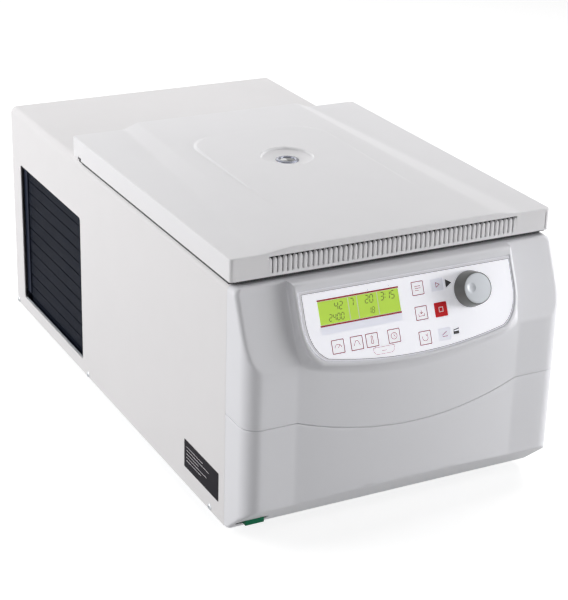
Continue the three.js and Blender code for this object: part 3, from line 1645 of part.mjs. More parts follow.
function addPowerBoard() {
  const y = at(powerCentreDepth);
  const low = trayTopZ + clearance;
  const boardZ = low + powerStandoff;
  const x0 = powerX - powerWidth / 2;
  const x1 = powerX + powerWidth / 2;
  const y0 = y - powerDepth / 2;
  const plate = box(x0, x1, y0, y + powerDepth / 2, boardZ, boardZ + boardThick);
  const posts = [0, 1].flatMap((a) => [0, 1].map((b) => disc(
    bossRadius,
    low,
    boardZ + boardThick / 2,
    6,
    a ? x1 - 2 * bossRadius : x0 + 2 * bossRadius,
    b ? y0 + powerDepth - 2 * bossRadius : y0 + 2 * bossRadius,
  )));
  const top = boardZ + boardThick / 2;
  const finPitch = (powerWidth - 4 * bossRadius) / heatsinkFins;
  const fins = Array.from({ length: heatsinkFins }, (_, i) => box(
    x0 + 2 * bossRadius + i * finPitch,
    x0 + 2 * bossRadius + i * finPitch + finThick,
    y0 + 4 * bossRadius,
    y0 + powerDepth / 2,
    top,
    top + heatsinkHigh,
  ));
  const base = box(
    x0 + 2 * bossRadius,
    x1 - 2 * bossRadius,
    y0 + 4 * bossRadius,
    y0 + powerDepth / 2,
    top,
    top + 2 * finThick,
  );
  const cans = [0, 1, 2].map((i) => disc(
    capacitorRadius,
    top,
    top + capacitorHigh,
    10,
    x0 + capacitorRadius * 2 + i * capacitorPitch,
    y + powerDepth / 2 - 3 * capacitorRadius,
  ));
  addPart('power_board', join([plate, ...posts, base, ...fins, ...cans]), 'circuit');
}

addBase();
addHood();
addRearPanel();
addFront();
addControls();
addLid();
addHinges();
addChamber();
addDrive();
addLock();
addCooling();
addCompressor();
addPowerBoard();

// The working frame's back edge is at Y 0, so the whole machine moves back by half its depth.
group.position.y = overallDepth / 2;

export default group;
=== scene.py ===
"""Dressed scene of a refrigerated bench centrifuge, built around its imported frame.

Sizes are millimetres in the classes and metres in Blender. +X is to the right of someone at the controls,
+Y to the back and +Z up. A depth is counted forward from the machine's back edge.
"""

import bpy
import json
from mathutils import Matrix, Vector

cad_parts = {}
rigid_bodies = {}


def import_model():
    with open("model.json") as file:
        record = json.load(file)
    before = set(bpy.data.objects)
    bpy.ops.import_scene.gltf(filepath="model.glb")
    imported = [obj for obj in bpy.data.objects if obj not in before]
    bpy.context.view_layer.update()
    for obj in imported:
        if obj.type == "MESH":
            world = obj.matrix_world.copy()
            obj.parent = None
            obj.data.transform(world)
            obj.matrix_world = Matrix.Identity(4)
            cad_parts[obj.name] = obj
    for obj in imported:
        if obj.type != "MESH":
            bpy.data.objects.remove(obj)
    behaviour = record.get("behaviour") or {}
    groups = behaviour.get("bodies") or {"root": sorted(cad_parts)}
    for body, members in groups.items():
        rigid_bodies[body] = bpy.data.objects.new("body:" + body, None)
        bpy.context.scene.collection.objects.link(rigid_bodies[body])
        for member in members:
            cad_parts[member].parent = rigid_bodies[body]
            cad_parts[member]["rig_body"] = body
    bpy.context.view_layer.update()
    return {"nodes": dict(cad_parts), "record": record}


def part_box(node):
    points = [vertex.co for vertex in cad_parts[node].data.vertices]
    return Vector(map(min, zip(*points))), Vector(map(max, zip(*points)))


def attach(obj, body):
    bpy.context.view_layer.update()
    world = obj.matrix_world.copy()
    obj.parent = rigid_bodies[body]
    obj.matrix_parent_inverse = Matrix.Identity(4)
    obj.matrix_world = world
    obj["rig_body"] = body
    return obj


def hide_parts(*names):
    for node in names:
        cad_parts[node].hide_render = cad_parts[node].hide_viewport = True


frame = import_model()

import json
import logging
import math
from dataclasses import dataclass
from enum import Enum
from typing import Callable, Iterable, Sequence

import bmesh
import bpy
from mathutils import Matrix, Vector
from mathutils.geometry import tessellate_polygon

Point = tuple[float, float, float]
Flat = tuple[float, float]
Colour = tuple[int, int, int]
Place = Callable[[float, float, float], Point]

MM = 0.001
WHOLE_DEPTH = 725.404
CHAMBER_DEPTH = 430.0
HALF_WIDTH = 190.0
BASE_Z = 10.0
DECK_Z = 286.0
FOLD_Z = 207.0
FOLD_DEPTH = 721.0
LEAN = math.radians(23.6)
WELD = 0.002 * MM
FLAT_ANGLE = math.radians(0.6)
HALVINGS = 26
WHITE = (1.0, 1.0, 1.0, 1.0)

log = logging.getLogger("centrifuge")


def at(depth: float) -> float:
    """Y, in millimetres, of a depth counted forward from the back edge."""
    return WHOLE_DEPTH / 2 - depth


def panel(x: float, up: float, out: float) -> Point:
    """Point on or over the control panel's plane.

    Args:
        x: Distance to the right of the middle.
        up: Distance up the slope from the fold.
        out: Height straight out of the panel's face.

    Returns:
        The point in millimetres.
    """
    y = at(FOLD_DEPTH) + up * math.sin(LEAN) - out * math.cos(LEAN)
    return (x, y, FOLD_Z + up * math.cos(LEAN) + out * math.sin(LEAN))


def upright(x: float, y: float, z: float) -> Point:
    """Point of a piece that stands as it is drawn."""
    return (x, y, z)


def smooth_min(a: float, b: float, k: float) -> float:
    """Lower of two numbers, with the change between them rounded over a width k."""
    share = max(0.0, min(1.0, 0.5 + 0.5 * (b - a) / k))
    return b + (a - b) * share - k * share * (1 - share)


def smooth_max(a: float, b: float, k: float) -> float:
    """Higher of two numbers, with the change between them rounded over a width k."""
    return -smooth_min(-a, -b, k)


def smooth_step(low: float, high: float, value: float) -> float:
    """Share from 0 to 1 that eases in and out between two values."""
    share = max(0.0, min(1.0, (value - low) / (high - low)))
    return share * share * (3 - 2 * share)


def spread(marks: Sequence[tuple[float, float]]) -> list[float]:
    """Positions with a spacing of their own on each stretch.

    Args:
        marks: Pairs of a stretch's end and the spacing up to it. The first pair holds the start.

    Returns:
        The positions, from the first mark to the last.
    """
    found = [marks[0][0]]
    for end, step in marks[1:]:
        start = found[-1]
        count = max(1, round(abs(end - start) / step))
        found += [start + (end - start) * i / count for i in range(1, count + 1)]
    return found


def arc(centre: Flat, radius: float, start: float, end: float, steps: int) -> list[Flat]:
    """Points on a circle between two angles in degrees, both ends included."""
    turns = [math.radians(start + (end - start) * i / steps) for i in range(steps + 1)]
    return [(centre[0] + radius * math.cos(t), centre[1] + radius * math.sin(t)) for t in turns]


def rounded_box(x: float, y: float, width: float, height: float, radius: float, steps: int = 4) -> list[Flat]:
    """Outline of a rectangle with round corners about a centre, counter-clockwise."""
    w, h = width / 2 - radius, height / 2 - radius
    corners = (((w, -h), -90), ((w, h), 0), ((-w, h), 90), ((-w, -h), 180))
    return [point for (dx, dy), turn in corners for point in arc((x + dx, y + dy), radius, turn, turn + 90, steps)]


def circle(x: float, y: float, radius: float, sides: int = 32) -> list[Flat]:
    """Outline of a circle, counter-clockwise, without a doubled end."""
    return arc((x, y), radius, 0, 360, sides)[:-1]


class Texture(Enum):
    """The small structure on a surface."""

    SMOOTH = "smooth"
    POWDER = "powder"
    SPARK = "spark"
    BRUSHED = "brushed"
    TURNED = "turned"
    SPANGLE = "spangle"
    PORES = "pores"


ROUGHNESS_SWAY = 0.12
GRAIN_HEIGHT = 0.00006
SPANGLE_SCALE = 130.0
BRUSH_ACROSS, BRUSH_ALONG = 1400.0, 18.0
RING_SCALE = 1800.0
PORE_SCALE = 420.0
GRAIN_SCALES = {
    Texture.SMOOTH: (260.0, 900.0, 0.35),
    Texture.POWDER: (620.0, 2100.0, 0.4),
    Texture.SPARK: (1500.0, 3600.0, 0.5),
    Texture.SPANGLE: (300.0, 1500.0, 0.3),
}


class Axis(Enum):
    """A direction that a pattern runs along."""

    X = 0
    Y = 1
    Z = 2


def linear(colour: Colour) -> tuple[float, float, float, float]:
    """Shader colour of a display colour from 0 to 255."""
    parts = [c / 255 for c in colour]
    return (*[c / 12.92 if c <= 0.04045 else ((c + 0.055) / 1.055) ** 2.4 for c in parts], 1.0)


def shown(name: str, data: bpy.types.ID) -> bpy.types.Object:
    """Links a new object that holds the data into the scene."""
    made = bpy.data.objects.new(name, data)
    bpy.context.scene.collection.objects.link(made)
    return made


def settled(thing: bpy.types.Object) -> bpy.types.Mesh:
    """Works an object's modifiers into a new mesh and removes them."""
    view = bpy.context.evaluated_depsgraph_get()
    mesh = bpy.data.meshes.new_from_object(thing.evaluated_get(view))
    thing.modifiers.clear()
    return mesh


class Graph:
    """A node tree while its nodes are added and linked."""

    def __init__(self, tree: bpy.types.NodeTree) -> None:
        """Takes a tree to fill."""
        self.tree = tree

    def node(self, kind: str, settings: dict | None = None, **inputs: object) -> bpy.types.Node:
        """Adds a node.

        Args:
            kind: Blender's name of the node.
            settings: The node's own options.
            inputs: Values or sockets, by the input's name with underscores for spaces, or by _ and its number.

        Returns:
            The new node.
        """
        made = self.tree.nodes.new(kind)
        for key, value in (settings or {}).items():
            setattr(made, key, value)
        self.feed(made, **inputs)
        return made

    def feed(self, node: bpy.types.Node, **inputs: object) -> None:
        """Sets or links a node's inputs.

        Args:
            node: The node.
            inputs: Values or sockets, named as for node().
        """
        for key, value in inputs.items():
            socket = node.inputs[int(key[1:])] if key[0] == "_" else node.inputs[key.replace("_", " ")]
            if isinstance(value, bpy.types.NodeSocket):
                self.tree.links.new(value, socket)
            else:
                socket.default_value = value

    def math(self, operation: str, a: object, b: object = 0.0) -> bpy.types.NodeSocket:
        """Result of an operation on two sockets or numbers."""
        return self.node("ShaderNodeMath", {"operation": operation}, _0=a, _1=b).outputs[0]

    def seen(self) -> bpy.types.NodeSocket:
        """1 for a ray that comes from the camera, off gloss or through glass, and otherwise 0."""
        rays = self.node("ShaderNodeLightPath").outputs
        mirrored = self.math("MAXIMUM", rays["Is Glossy Ray"], rays["Is Transmission Ray"])
        return self.math("MAXIMUM", rays["Is Camera Ray"], mirrored)


class Shader(Graph):
    """One material while it is built."""

    def __init__(self, name: str) -> None:
        """Starts a material that holds only an output and a Principled shader."""
        self.material = bpy.data.materials.new(name)
        self.material.use_nodes = True
        super().__init__(self.material.node_tree)
        self.tree.nodes.clear()
        output = self.node("ShaderNodeOutputMaterial")
        self.skin = self.node("ShaderNodeBsdfPrincipled")
        self.feed(output, Surface=self.skin.outputs["BSDF"])

    def ranged(self, source: bpy.types.NodeSocket, low: float, high: float) -> bpy.types.NodeSocket:
        """Maps a pattern from 0..1 to another range."""
        return self.node("ShaderNodeMapRange", To_Min=low, To_Max=high, Value=source).outputs["Result"]


@dataclass(frozen=True)
class Finish:
    """A surface finish: its colour, its gloss and the small structure on it."""

    name: str
    colour: Colour
    roughness: float = 0.5
    texture: Texture = Texture.SMOOTH
    metallic: float = 0.0
    coat: float = 0.0
    specular: float = 0.5
    mottle: float = 0.03
    patches: float = 14.0
    grain: float = 0.15
    grain_size: float = 1.0
    run: Axis = Axis.X
    centre: Flat = (0.0, 0.0)
    # Emission strength. On the membrane films it is painted light, as these films are no lamps.
    glow: float = 0.0

    def material(self) -> bpy.types.Material:
        """The finish's material, made on first use."""
        return bpy.data.materials.get(f"{self.name}_finish") or self._make()

    def _make(self) -> bpy.types.Material:
        """Builds the material from object coordinates and noise.

        Returns:
            The new material.
        """
        sheet = Shader(f"{self.name}_finish")
        sheet.feed(sheet.skin, Metallic=self.metallic, Coat_Weight=self.coat, Specular_IOR_Level=self.specular)
        # Emission: painted light where a film that is no lamp is given a glow.
        if self.glow:
            sheet.feed(sheet.skin, Emission_Color=linear(self.colour), Emission_Strength=self.glow)
        where = sheet.node("ShaderNodeTexCoord").outputs["Object"]
        self._colour(sheet, where)
        pattern = self._pattern(sheet, where)
        rough = sheet.node("ShaderNodeTexNoise", Scale=self.patches * 3, Detail=3.0, Vector=where)
        sway = ROUGHNESS_SWAY * self.roughness
        level = sheet.ranged(rough.outputs[0], self.roughness - sway, self.roughness + sway)
        bump = sheet.node(
            "ShaderNodeBump", Strength=self.grain, Distance=GRAIN_HEIGHT * self.grain_size, Height=pattern
        )
        sheet.feed(sheet.skin, Roughness=level, Normal=bump.outputs["Normal"])
        return sheet.material

    def _colour(self, sheet: Shader, where: bpy.types.NodeSocket) -> None:
        """Varies the colour a little in soft patches, or by grain on spangled metal.

        Args:
            sheet: The material.
            where: The place on the object.
        """
        if self.texture is Texture.SPANGLE:
            source = sheet.node("ShaderNodeTexVoronoi", Scale=SPANGLE_SCALE, Vector=where).outputs["Color"]
        else:
            patches = sheet.node("ShaderNodeTexNoise", Scale=self.patches, Detail=4.0, Roughness=0.6, Vector=where)
            source = patches.outputs[0]
        low, high = (linear(tuple(min(255, c * (1 + side * self.mottle)) for c in self.colour)) for side in (-1, 1))
        mix = sheet.node("ShaderNodeMix", {"data_type": "RGBA"}, _0=source, _6=low, _7=high)
        sheet.feed(sheet.skin, Base_Color=mix.outputs[2])

    def _pattern(self, sheet: Shader, where: bpy.types.NodeSocket) -> bpy.types.NodeSocket:
        """The height pattern of the finish's texture.

        Args:
            sheet: The material.
            where: The place on the object.

        Returns:
            The height, about 0 to 1.
        """
        size = self.grain_size
        if self.texture is Texture.BRUSHED:
            stretch = [BRUSH_ACROSS / size] * 3
            stretch[self.run.value] = BRUSH_ALONG
            place = sheet.node("ShaderNodeMapping", Vector=where, Scale=stretch).outputs[0]
            return sheet.node("ShaderNodeTexNoise", Scale=1.0, Detail=5.0, Roughness=0.7, Vector=place).outputs[0]
        if self.texture is Texture.TURNED:
            centre = (-self.centre[0] * MM, -self.centre[1] * MM, 0.0)
            moved = sheet.node("ShaderNodeMapping", Vector=where, Location=centre, Scale=(1.0, 1.0, 0.6))
            reach = sheet.node("ShaderNodeVectorMath", {"operation": "LENGTH"}, _0=moved.outputs[0]).outputs["Value"]
            ring = {"noise_dimensions": "1D"}
            return sheet.node("ShaderNodeTexNoise", ring, Scale=RING_SCALE / size, Detail=4.0, W=reach).outputs[0]
        if self.texture is Texture.PORES:
            return sheet.node("ShaderNodeTexVoronoi", Scale=PORE_SCALE / size, Vector=where).outputs["Distance"]
        coarse, fine, share = GRAIN_SCALES[self.texture]
        first = sheet.node("ShaderNodeTexNoise", Scale=coarse / size, Detail=2.0, Vector=where)
        second = sheet.node("ShaderNodeTexNoise", Scale=fine / size, Detail=3.0, Vector=where)
        return sheet.math("ADD", first.outputs[0], sheet.math("MULTIPLY", second.outputs[0], share))


CHAMBER: Flat = (0.0, at(CHAMBER_DEPTH))

WHITE_COAT = Finish("white_coat", (224, 222, 223), 0.42, Texture.POWDER, mottle=0.008, grain=0.22, specular=0.18)
GREY_MOULDING = Finish("grey_moulding", (226, 226, 230), 0.48, Texture.SPARK, mottle=0.008, grain=0.2, specular=0.35)
LID_MOULDING = Finish("lid_moulding", (230, 229, 231), 0.48, Texture.SPARK, mottle=0.008, grain=0.2, specular=0.22)
# The white, lilac and border films glow a little: painted light that brightens them.
FILM = Finish("membrane_film", (247, 247, 253), 0.42, mottle=0.004, grain=0.05, specular=0.25, glow=0.25)
LILAC_FILM = Finish("lilac_film", (232, 233, 244), 0.42, mottle=0.005, grain=0.05, specular=0.25, glow=0.21)
RED_FILM = Finish("red_film", (206, 14, 22), 0.42, mottle=0.02, grain=0.05, specular=0.2)
BORDER_FILM = Finish("border_film", (228, 227, 232), 0.42, mottle=0.01, grain=0.05, specular=0.25, glow=0.05)
BORDER_LINE = Finish("border_line", (132, 126, 130), 0.42, mottle=0.02, grain=0.05, specular=0.25)
RED_INK = Finish("red_ink", (158, 30, 38), 0.4, mottle=0.02, grain=0.03, specular=0.25)
KEY_LINE = Finish("key_line", (160, 90, 92), 0.4, mottle=0.02, grain=0.03, specular=0.25)
BLACK_INK = Finish("black_ink", (18, 16, 20), 0.4, mottle=0.02, grain=0.03)
WHITE_INK = Finish("white_ink", (238, 236, 240), 0.4, mottle=0.01, grain=0.03)
DISPLAY_GREEN = Finish("display_green", (176, 210, 68), 0.2, mottle=0.03, patches=30.0, grain=0.02, glow=0.3)
DISPLAY_DARK = Finish("display_segments", (62, 78, 30), 0.25, mottle=0.03, grain=0.02)
DISPLAY_LINE = Finish("display_dividers", (226, 232, 214), 0.3, mottle=0.01, grain=0.02)
KNOB_DARK = Finish("knob_dark", (106, 107, 105), 0.38, Texture.SPARK, mottle=0.03, grain=0.15)
KNOB_LIGHT = Finish("knob_light", (221, 225, 231), 0.35, Texture.SPARK, mottle=0.01, grain=0.1)
DARK_PLASTIC = Finish("dark_plastic", (58, 60, 64), 0.5, Texture.SPARK, mottle=0.04)
BLACK_PLASTIC = Finish("black_plastic", (24, 24, 27), 0.5, Texture.SPARK, mottle=0.05)
GREEN_PLASTIC = Finish("green_plastic", (6, 96, 66), 0.45, Texture.SPARK, mottle=0.03, specular=0.15)
CHROME = Finish("bright_chrome", (112, 114, 124), 0.22, metallic=1.0, mottle=0.01, grain=0.03)
DARK_GLASS = Finish("dark_glass", (20, 22, 28), 0.06, coat=0.6, mottle=0.02, grain=0.02)
ZINC = Finish("zinc_plate", (168, 173, 178), 0.38, Texture.SPANGLE, metallic=0.85, mottle=0.06)
BRIGHT_STEEL = Finish("bright_steel", (184, 187, 190), 0.28, Texture.BRUSHED, metallic=1.0, mottle=0.02)
STAINLESS = Finish(
    "stainless_turned", (204, 206, 208), 0.36, Texture.TURNED, metallic=1.0, mottle=0.02, centre=CHAMBER, grain=0.3
)
STAINLESS_SHEET = Finish(
    "stainless_sheet", (188, 190, 192), 0.32, Texture.BRUSHED, metallic=1.0, mottle=0.02, grain=0.3
)
ANODISED = Finish(
    "anodised_rotor", (104, 109, 116), 0.36, Texture.TURNED, metallic=0.9, mottle=0.03, centre=CHAMBER, grain=0.25
)
RUBBER = Finish("foot_rubber", (34, 34, 36), 0.85, Texture.SPARK, mottle=0.08, grain=0.35)
SEAL = Finish("seal_rubber", (42, 42, 45), 0.7, Texture.SPARK, mottle=0.05)
FOAM = Finish("foam", (206, 192, 138), 0.95, Texture.PORES, mottle=0.06, grain=0.8, grain_size=4.0)
COPPER = Finish("copper_tube", (196, 120, 82), 0.32, metallic=1.0, mottle=0.08)
NAVY = Finish("navy_enamel", (36, 41, 56), 0.42, Texture.POWDER, mottle=0.12, patches=60.0, specular=0.12)
# Darker navy: painted shade for the condenser's tube rows.
NAVY_SHADE = Finish("navy_shade", (20, 23, 32), 0.6, Texture.POWDER, mottle=0.15, patches=60.0)
ENAMEL = Finish("black_enamel", (26, 27, 29), 0.22, Texture.POWDER, coat=0.5, mottle=0.05)
CIRCUIT = Finish("circuit_lacquer", (30, 96, 58), 0.35, mottle=0.12, patches=120.0)
LABEL = Finish("label_film", (36, 34, 39), 0.62, mottle=0.03, grain=0.04, specular=0.05)


class Form:
    """Collects the points and faces of one piece, in millimetres, and makes its object."""

    def __init__(self) -> None:
        """Starts empty."""
        self.points: list[Point] = []
        self.faces: list[tuple[int, ...]] = []
        self.slots: list[int] = []

    def add(self, points: Iterable[Point], faces: Iterable[Sequence[int]], slot: int = 0) -> "Form":
        """Adds points and the faces between them.

        Args:
            points: The points in millimetres.
            faces: Each face's corners, as numbers of these points.
            slot: Which of the piece's finishes the faces take.

        Returns:
            This form.
        """
        start = len(self.points)
        self.points += list(points)
        for face in faces:
            self.faces.append(tuple(start + i for i in face))
            self.slots.append(slot)
        return self

    def loft(
        self,
        loops: Sequence[Sequence[Point]],
        slot: int = 0,
        round_loops: bool = True,
        caps: bool = False,
        ring: bool = False,
    ) -> "Form":
        """Joins loops of equal length by quads.

        Args:
            loops: The loops, in order.
            slot: Which of the piece's finishes the faces take.
            round_loops: Whether each loop closes on itself.
            caps: Whether the first and last loop get a flat end.
            ring: Whether the last loop joins the first.

        Returns:
            This form.
        """
        count = len(loops[0])
        faces: list[Sequence[int]] = []
        for level in range(len(loops) if ring else len(loops) - 1):
            near, far = level * count, ((level + 1) % len(loops)) * count
            for i in range(count if round_loops else count - 1):
                j = (i + 1) % count
                faces.append((near + i, near + j, far + j, far + i))
        if caps:
            faces.append(tuple(reversed(range(count))))
            faces.append(tuple((len(loops) - 1) * count + i for i in range(count)))
        return self.add([point for loop in loops for point in loop], faces, slot)

    def lathe(self, profile: Sequence[Flat], sides: int, place: Place, x: float, y: float, slot: int = 0) -> "Form":
        """Turns a profile about an axis.

        Args:
            profile: Radius and height of each of its points.
            sides: Faces round the axis.
            place: Where a point across the axis and a height go.
            x: The axis's place across.
            y: The axis's other place.
            slot: Which of the piece's finishes the faces take.

        Returns:
            This form.
        """
        turns = [2 * math.pi * i / sides for i in range(sides)]
        loops = [[place(x + r * math.cos(t), y + r * math.sin(t), h) for t in turns] for r, h in profile]
        return self.loft(loops, slot)

    def plate(
        self,
        outline: Sequence[Flat],
        low: float,
        high: float,
        place: Place,
        holes: Sequence[Sequence[Flat]] = (),
        slot: int = 0,
    ) -> "Form":
        """Adds a flat plate with holes between two heights.

        Args:
            outline: The plate's edge.
            low: Height of its lower face.
            high: Height of its upper face.
            place: Where a point on the plate goes.
            holes: The holes' edges.
            slot: Which of the piece's finishes the faces take.

        Returns:
            This form.
        """
        edges = [list(outline), *[list(hole) for hole in holes]]
        flat = [point for edge in edges for point in edge]
        triangles = tessellate_polygon([[Vector((a, b, 0.0)) for a, b in edge] for edge in edges])
        count = len(flat)
        points = [place(a, b, low) for a, b in flat] + [place(a, b, high) for a, b in flat]
        faces: list[Sequence[int]] = [tuple(reversed(t)) for t in triangles]
        faces += [tuple(count + i for i in t) for t in triangles]
        start = 0
        for edge in edges:
            for i in range(len(edge)):
                a, b = start + i, start + (i + 1) % len(edge)
                faces.append((a, b, count + b, count + a))
            start += len(edge)
        return self.add(points, faces, slot)

    def box(self, low: Point, high: Point, slot: int = 0) -> "Form":
        """Adds a plain box between two corners."""
        (x0, y0, z0), (x1, y1, z1) = low, high
        base = [(x0, y0), (x1, y0), (x1, y1), (x0, y1)]
        return self.loft([[(x, y, z0) for x, y in base], [(x, y, z1) for x, y in base]], slot, caps=True)

    def mesh(self, name: str) -> bpy.types.Mesh:
        """The collected faces as a mesh in metres, welded and turned outward.

        Args:
            name: The mesh's name.

        Returns:
            The mesh.
        """
        shape = bmesh.new()
        corners = [shape.verts.new(Vector(point) * MM) for point in self.points]
        for face, slot in zip(self.faces, self.slots):
            if len(set(face)) > 2:
                made = shape.faces.new([corners[i] for i in face])
                made.material_index = slot
                made.smooth = True
        bmesh.ops.remove_doubles(shape, verts=shape.verts, dist=WELD)
        bmesh.ops.dissolve_degenerate(shape, edges=shape.edges, dist=WELD / 2)
        bmesh.ops.recalc_face_normals(shape, faces=shape.faces)
        mesh = bpy.data.meshes.new(name)
        shape.to_mesh(mesh)
        shape.free()
        return mesh

    def object(self, name: str) -> bpy.types.Object:
        """The collected faces as an object in the scene."""
        return shown(name, self.mesh(name))

    def piece(self, name: str, body: str, *finishes: Finish, **options: object) -> bpy.types.Object:
        """Makes the object and dresses it.

        Args:
            name: The piece's name.
            body: The CAD body that it rides on.
            finishes: Its finishes, in the order of its face slots.
            options: More for dress().

        Returns:
            The finished piece.
        """
        return dress(self.object(name), body, *finishes, **options)


def dress(
    thing: bpy.types.Object,
    body: str,
    *finishes: Finish,
    replaces: Sequence[str] = (),
    slot: str = "",
    bevel: float = 0.0,
    steps: int = 2,
    sharp: float = 34.0,
) -> bpy.types.Object:
    """Gives a finished mesh its materials, edges and body.

    Args:
        thing: The object, already in place.
        body: The CAD body that it rides on.
        finishes: Its finishes, in the order of its face slots.
        replaces: CAD nodes that it stands for.
        slot: The record's material slot that it takes its finish from. Not used.
        bevel: Width of its rounded edges in millimetres, or 0 for none.
        steps: Faces across each rounded edge.
        sharp: Least angle between faces, in degrees, that shows as an edge.

    Returns:
        The same object.
    """
    indices = [face.material_index for face in thing.data.polygons]
    thing.data.materials.clear()
    for finish in finishes:
        thing.data.materials.append(finish.material())
    thing.data.polygons.foreach_set("material_index", indices)
    if bevel:
        edge = thing.modifiers.new("edges", "BEVEL")
        edge.width = bevel * MM
        edge.segments = steps
        edge.limit_method = "ANGLE"
        edge.angle_limit = math.radians(sharp)
        edge.use_clamp_overlap = True
        weight = thing.modifiers.new("even_shading", "WEIGHTED_NORMAL")
        weight.keep_sharp = True
    else:
        thing.data.set_sharp_from_angle(angle=math.radians(sharp))
    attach(thing, body)
    if replaces:
        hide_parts(*replaces)
    return thing


def record_slot(node: str) -> str:
    """The material slot that the record gives a CAD node."""
    return next(entry["material_slot"] for entry in frame["record"]["subparts"] if entry["node"] == node)


def refined(node: str, finish: Finish, bevel: float = 0.3, steps: int = 2, sharp: float = 34.0) -> bpy.types.Object:
    """Stands a welded copy of a CAD node with rounded edges in for the node.

    Args:
        node: The CAD node's name.
        finish: The copy's finish.
        bevel: Width of its rounded edges in millimetres.
        steps: Faces across each rounded edge.
        sharp: Least angle between faces, in degrees, that gets rounded.

    Returns:
        The copy.
    """
    source = frame["nodes"][node]
    shape = bmesh.new()
    shape.from_mesh(source.data)
    bmesh.ops.remove_doubles(shape, verts=shape.verts, dist=WELD)
    bmesh.ops.dissolve_limit(
        shape, angle_limit=FLAT_ANGLE, verts=shape.verts, edges=shape.edges, use_dissolve_boundaries=False
    )
    for face in shape.faces:
        face.smooth = True
        face.material_index = 0
    mesh = bpy.data.meshes.new(f"{node}_finished")
    shape.to_mesh(mesh)
    shape.free()
    return dress(
        shown(mesh.name, mesh), source["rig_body"], finish, replaces=(node,), slot=record_slot(node), bevel=bevel,
        steps=steps, sharp=sharp,
    )  # fmt: skip


def carved(thing: bpy.types.Object, cutter: bpy.types.Object) -> bpy.types.Object:
    """Cuts one object by another and removes the second.

    Args:
        thing: The object to change.
        cutter: The object that is used up.

    Returns:
        The changed object, with a plain mesh.
    """
    change = thing.modifiers.new("carve", "BOOLEAN")
    change.operation = "DIFFERENCE"
    change.solver = "EXACT"
    change.object = cutter
    old, thing.data = thing.data, settled(thing)
    bpy.data.meshes.remove(old)
    thing.data.name = thing.name
    bpy.data.objects.remove(cutter)
    return thing


class Tree(Graph):
    """One geometry node tree while it is built."""

    def __init__(self, name: str) -> None:
        """Starts a tree that has only a geometry output."""
        super().__init__(bpy.data.node_groups.new(name, "GeometryNodeTree"))
        self.tree.interface.new_socket("Geometry", in_out="OUTPUT", socket_type="NodeSocketGeometry")
        self.entry = self.node("NodeGroupInput")
        self.values: dict[str, object] = {}

    def size(self, name: str, value: object, kind: str = "Float") -> bpy.types.NodeSocket:
        """Adds a named input.

        Args:
            name: The input's name.
            value: What the modifier sets it to.
            kind: The kind of its socket.

        Returns:
            Its socket inside the tree.
        """
        made = self.tree.interface.new_socket(name, in_out="INPUT", socket_type=f"NodeSocket{kind}")
        self.values[made.identifier] = value
        return self.entry.outputs[name]

    def part(self, kind: str, **inputs: object) -> bpy.types.Node:
        """Adds a geometry node by its name without the prefix."""
        return self.node(f"GeometryNode{kind}", None, **inputs)

    def grow(self, name: str, result: bpy.types.NodeSocket, finish: Finish) -> bpy.types.Object:
        """Realizes the result, sets its material, and turns it into an object with a plain mesh.

        Args:
            name: The object's name.
            result: The geometry to show.
            finish: Its finish.

        Returns:
            The object, with no modifier.
        """
        real = self.part("RealizeInstances", Geometry=result)
        painted = self.part("SetMaterial", Geometry=real.outputs[0], Material=finish.material())
        self.node("NodeGroupOutput", None, _0=painted.outputs[0])
        seed = shown(f"{name}_seed", bpy.data.meshes.new(f"{name}_seed"))
        run = seed.modifiers.new("grow", "NODES")
        run.node_group = self.tree
        for identifier, value in self.values.items():
            run[identifier] = value
        mesh = settled(seed)
        bpy.data.objects.remove(seed)
        mesh.name = name
        mesh.shade_smooth()
        return shown(name, mesh)


def rows_of(
    name: str,
    template: bpy.types.Object,
    finish: Finish,
    count: int,
    start: Point,
    pitch: Point,
    rows: int,
    row_pitch: Point,
    stagger: Point,
) -> bpy.types.Object:
    """Repeats a template's mesh in rows by geometry nodes.

    Args:
        name: The result's name.
        template: The object whose mesh is repeated. It is used up.
        finish: The result's finish.
        count: Copies in a row.
        start: Place of the first copy in millimetres.
        pitch: Step from one copy to the next.
        rows: How many rows.
        row_pitch: Step from one row to the next.
        stagger: Shift of every second row.

    Returns:
        The result as one object.
    """
    tree = Tree(f"{name}_rows")
    along = tree.size("Count", count, "Int")
    across = tree.size("Rows", rows, "Int")
    first, step, row_step, shift = (
        tree.size(title, tuple(v * MM for v in value), "Vector")
        for title, value in (("Start", start), ("Pitch", pitch), ("Row Pitch", row_pitch), ("Stagger", stagger))
    )
    offset = {"mode": "OFFSET"}
    line = tree.node("GeometryNodeMeshLine", offset, Count=along, Start_Location=first, Offset=step)
    column = tree.node("GeometryNodeMeshLine", offset, Count=across, Offset=row_step)
    odd = tree.math("MODULO", tree.part("InputIndex").outputs[0], 2.0)
    moved = tree.node("ShaderNodeVectorMath", {"operation": "SCALE"}, _0=shift, Scale=odd)
    staggered = tree.part("SetPosition", Geometry=column.outputs[0], Offset=moved.outputs[0])
    lines = tree.part("InstanceOnPoints", Points=staggered.outputs[0], Instance=line.outputs[0])
    places = tree.part("RealizeInstances", Geometry=lines.outputs[0])
    return copies_of(name, tree, template, places.outputs[0], finish)


def copies_of(
    name: str, tree: Tree, template: bpy.types.Object, points: bpy.types.NodeSocket, finish: Finish
) -> bpy.types.Object:
    """Ends a tree with a copy of the template on each point.

    Args:
        name: The result's name.
        tree: The tree that the points are in.
        template: The object whose mesh is repeated. It is used up.
        points: The points.
        finish: The result's finish.

    Returns:
        The result as one object.
    """
    shape = tree.part("ObjectInfo", Object=template)
    copies = tree.part("InstanceOnPoints", Points=points, Instance=shape.outputs["Geometry"])
    made = tree.grow(name, copies.outputs[0], finish)
    bpy.data.objects.remove(template)
    return made


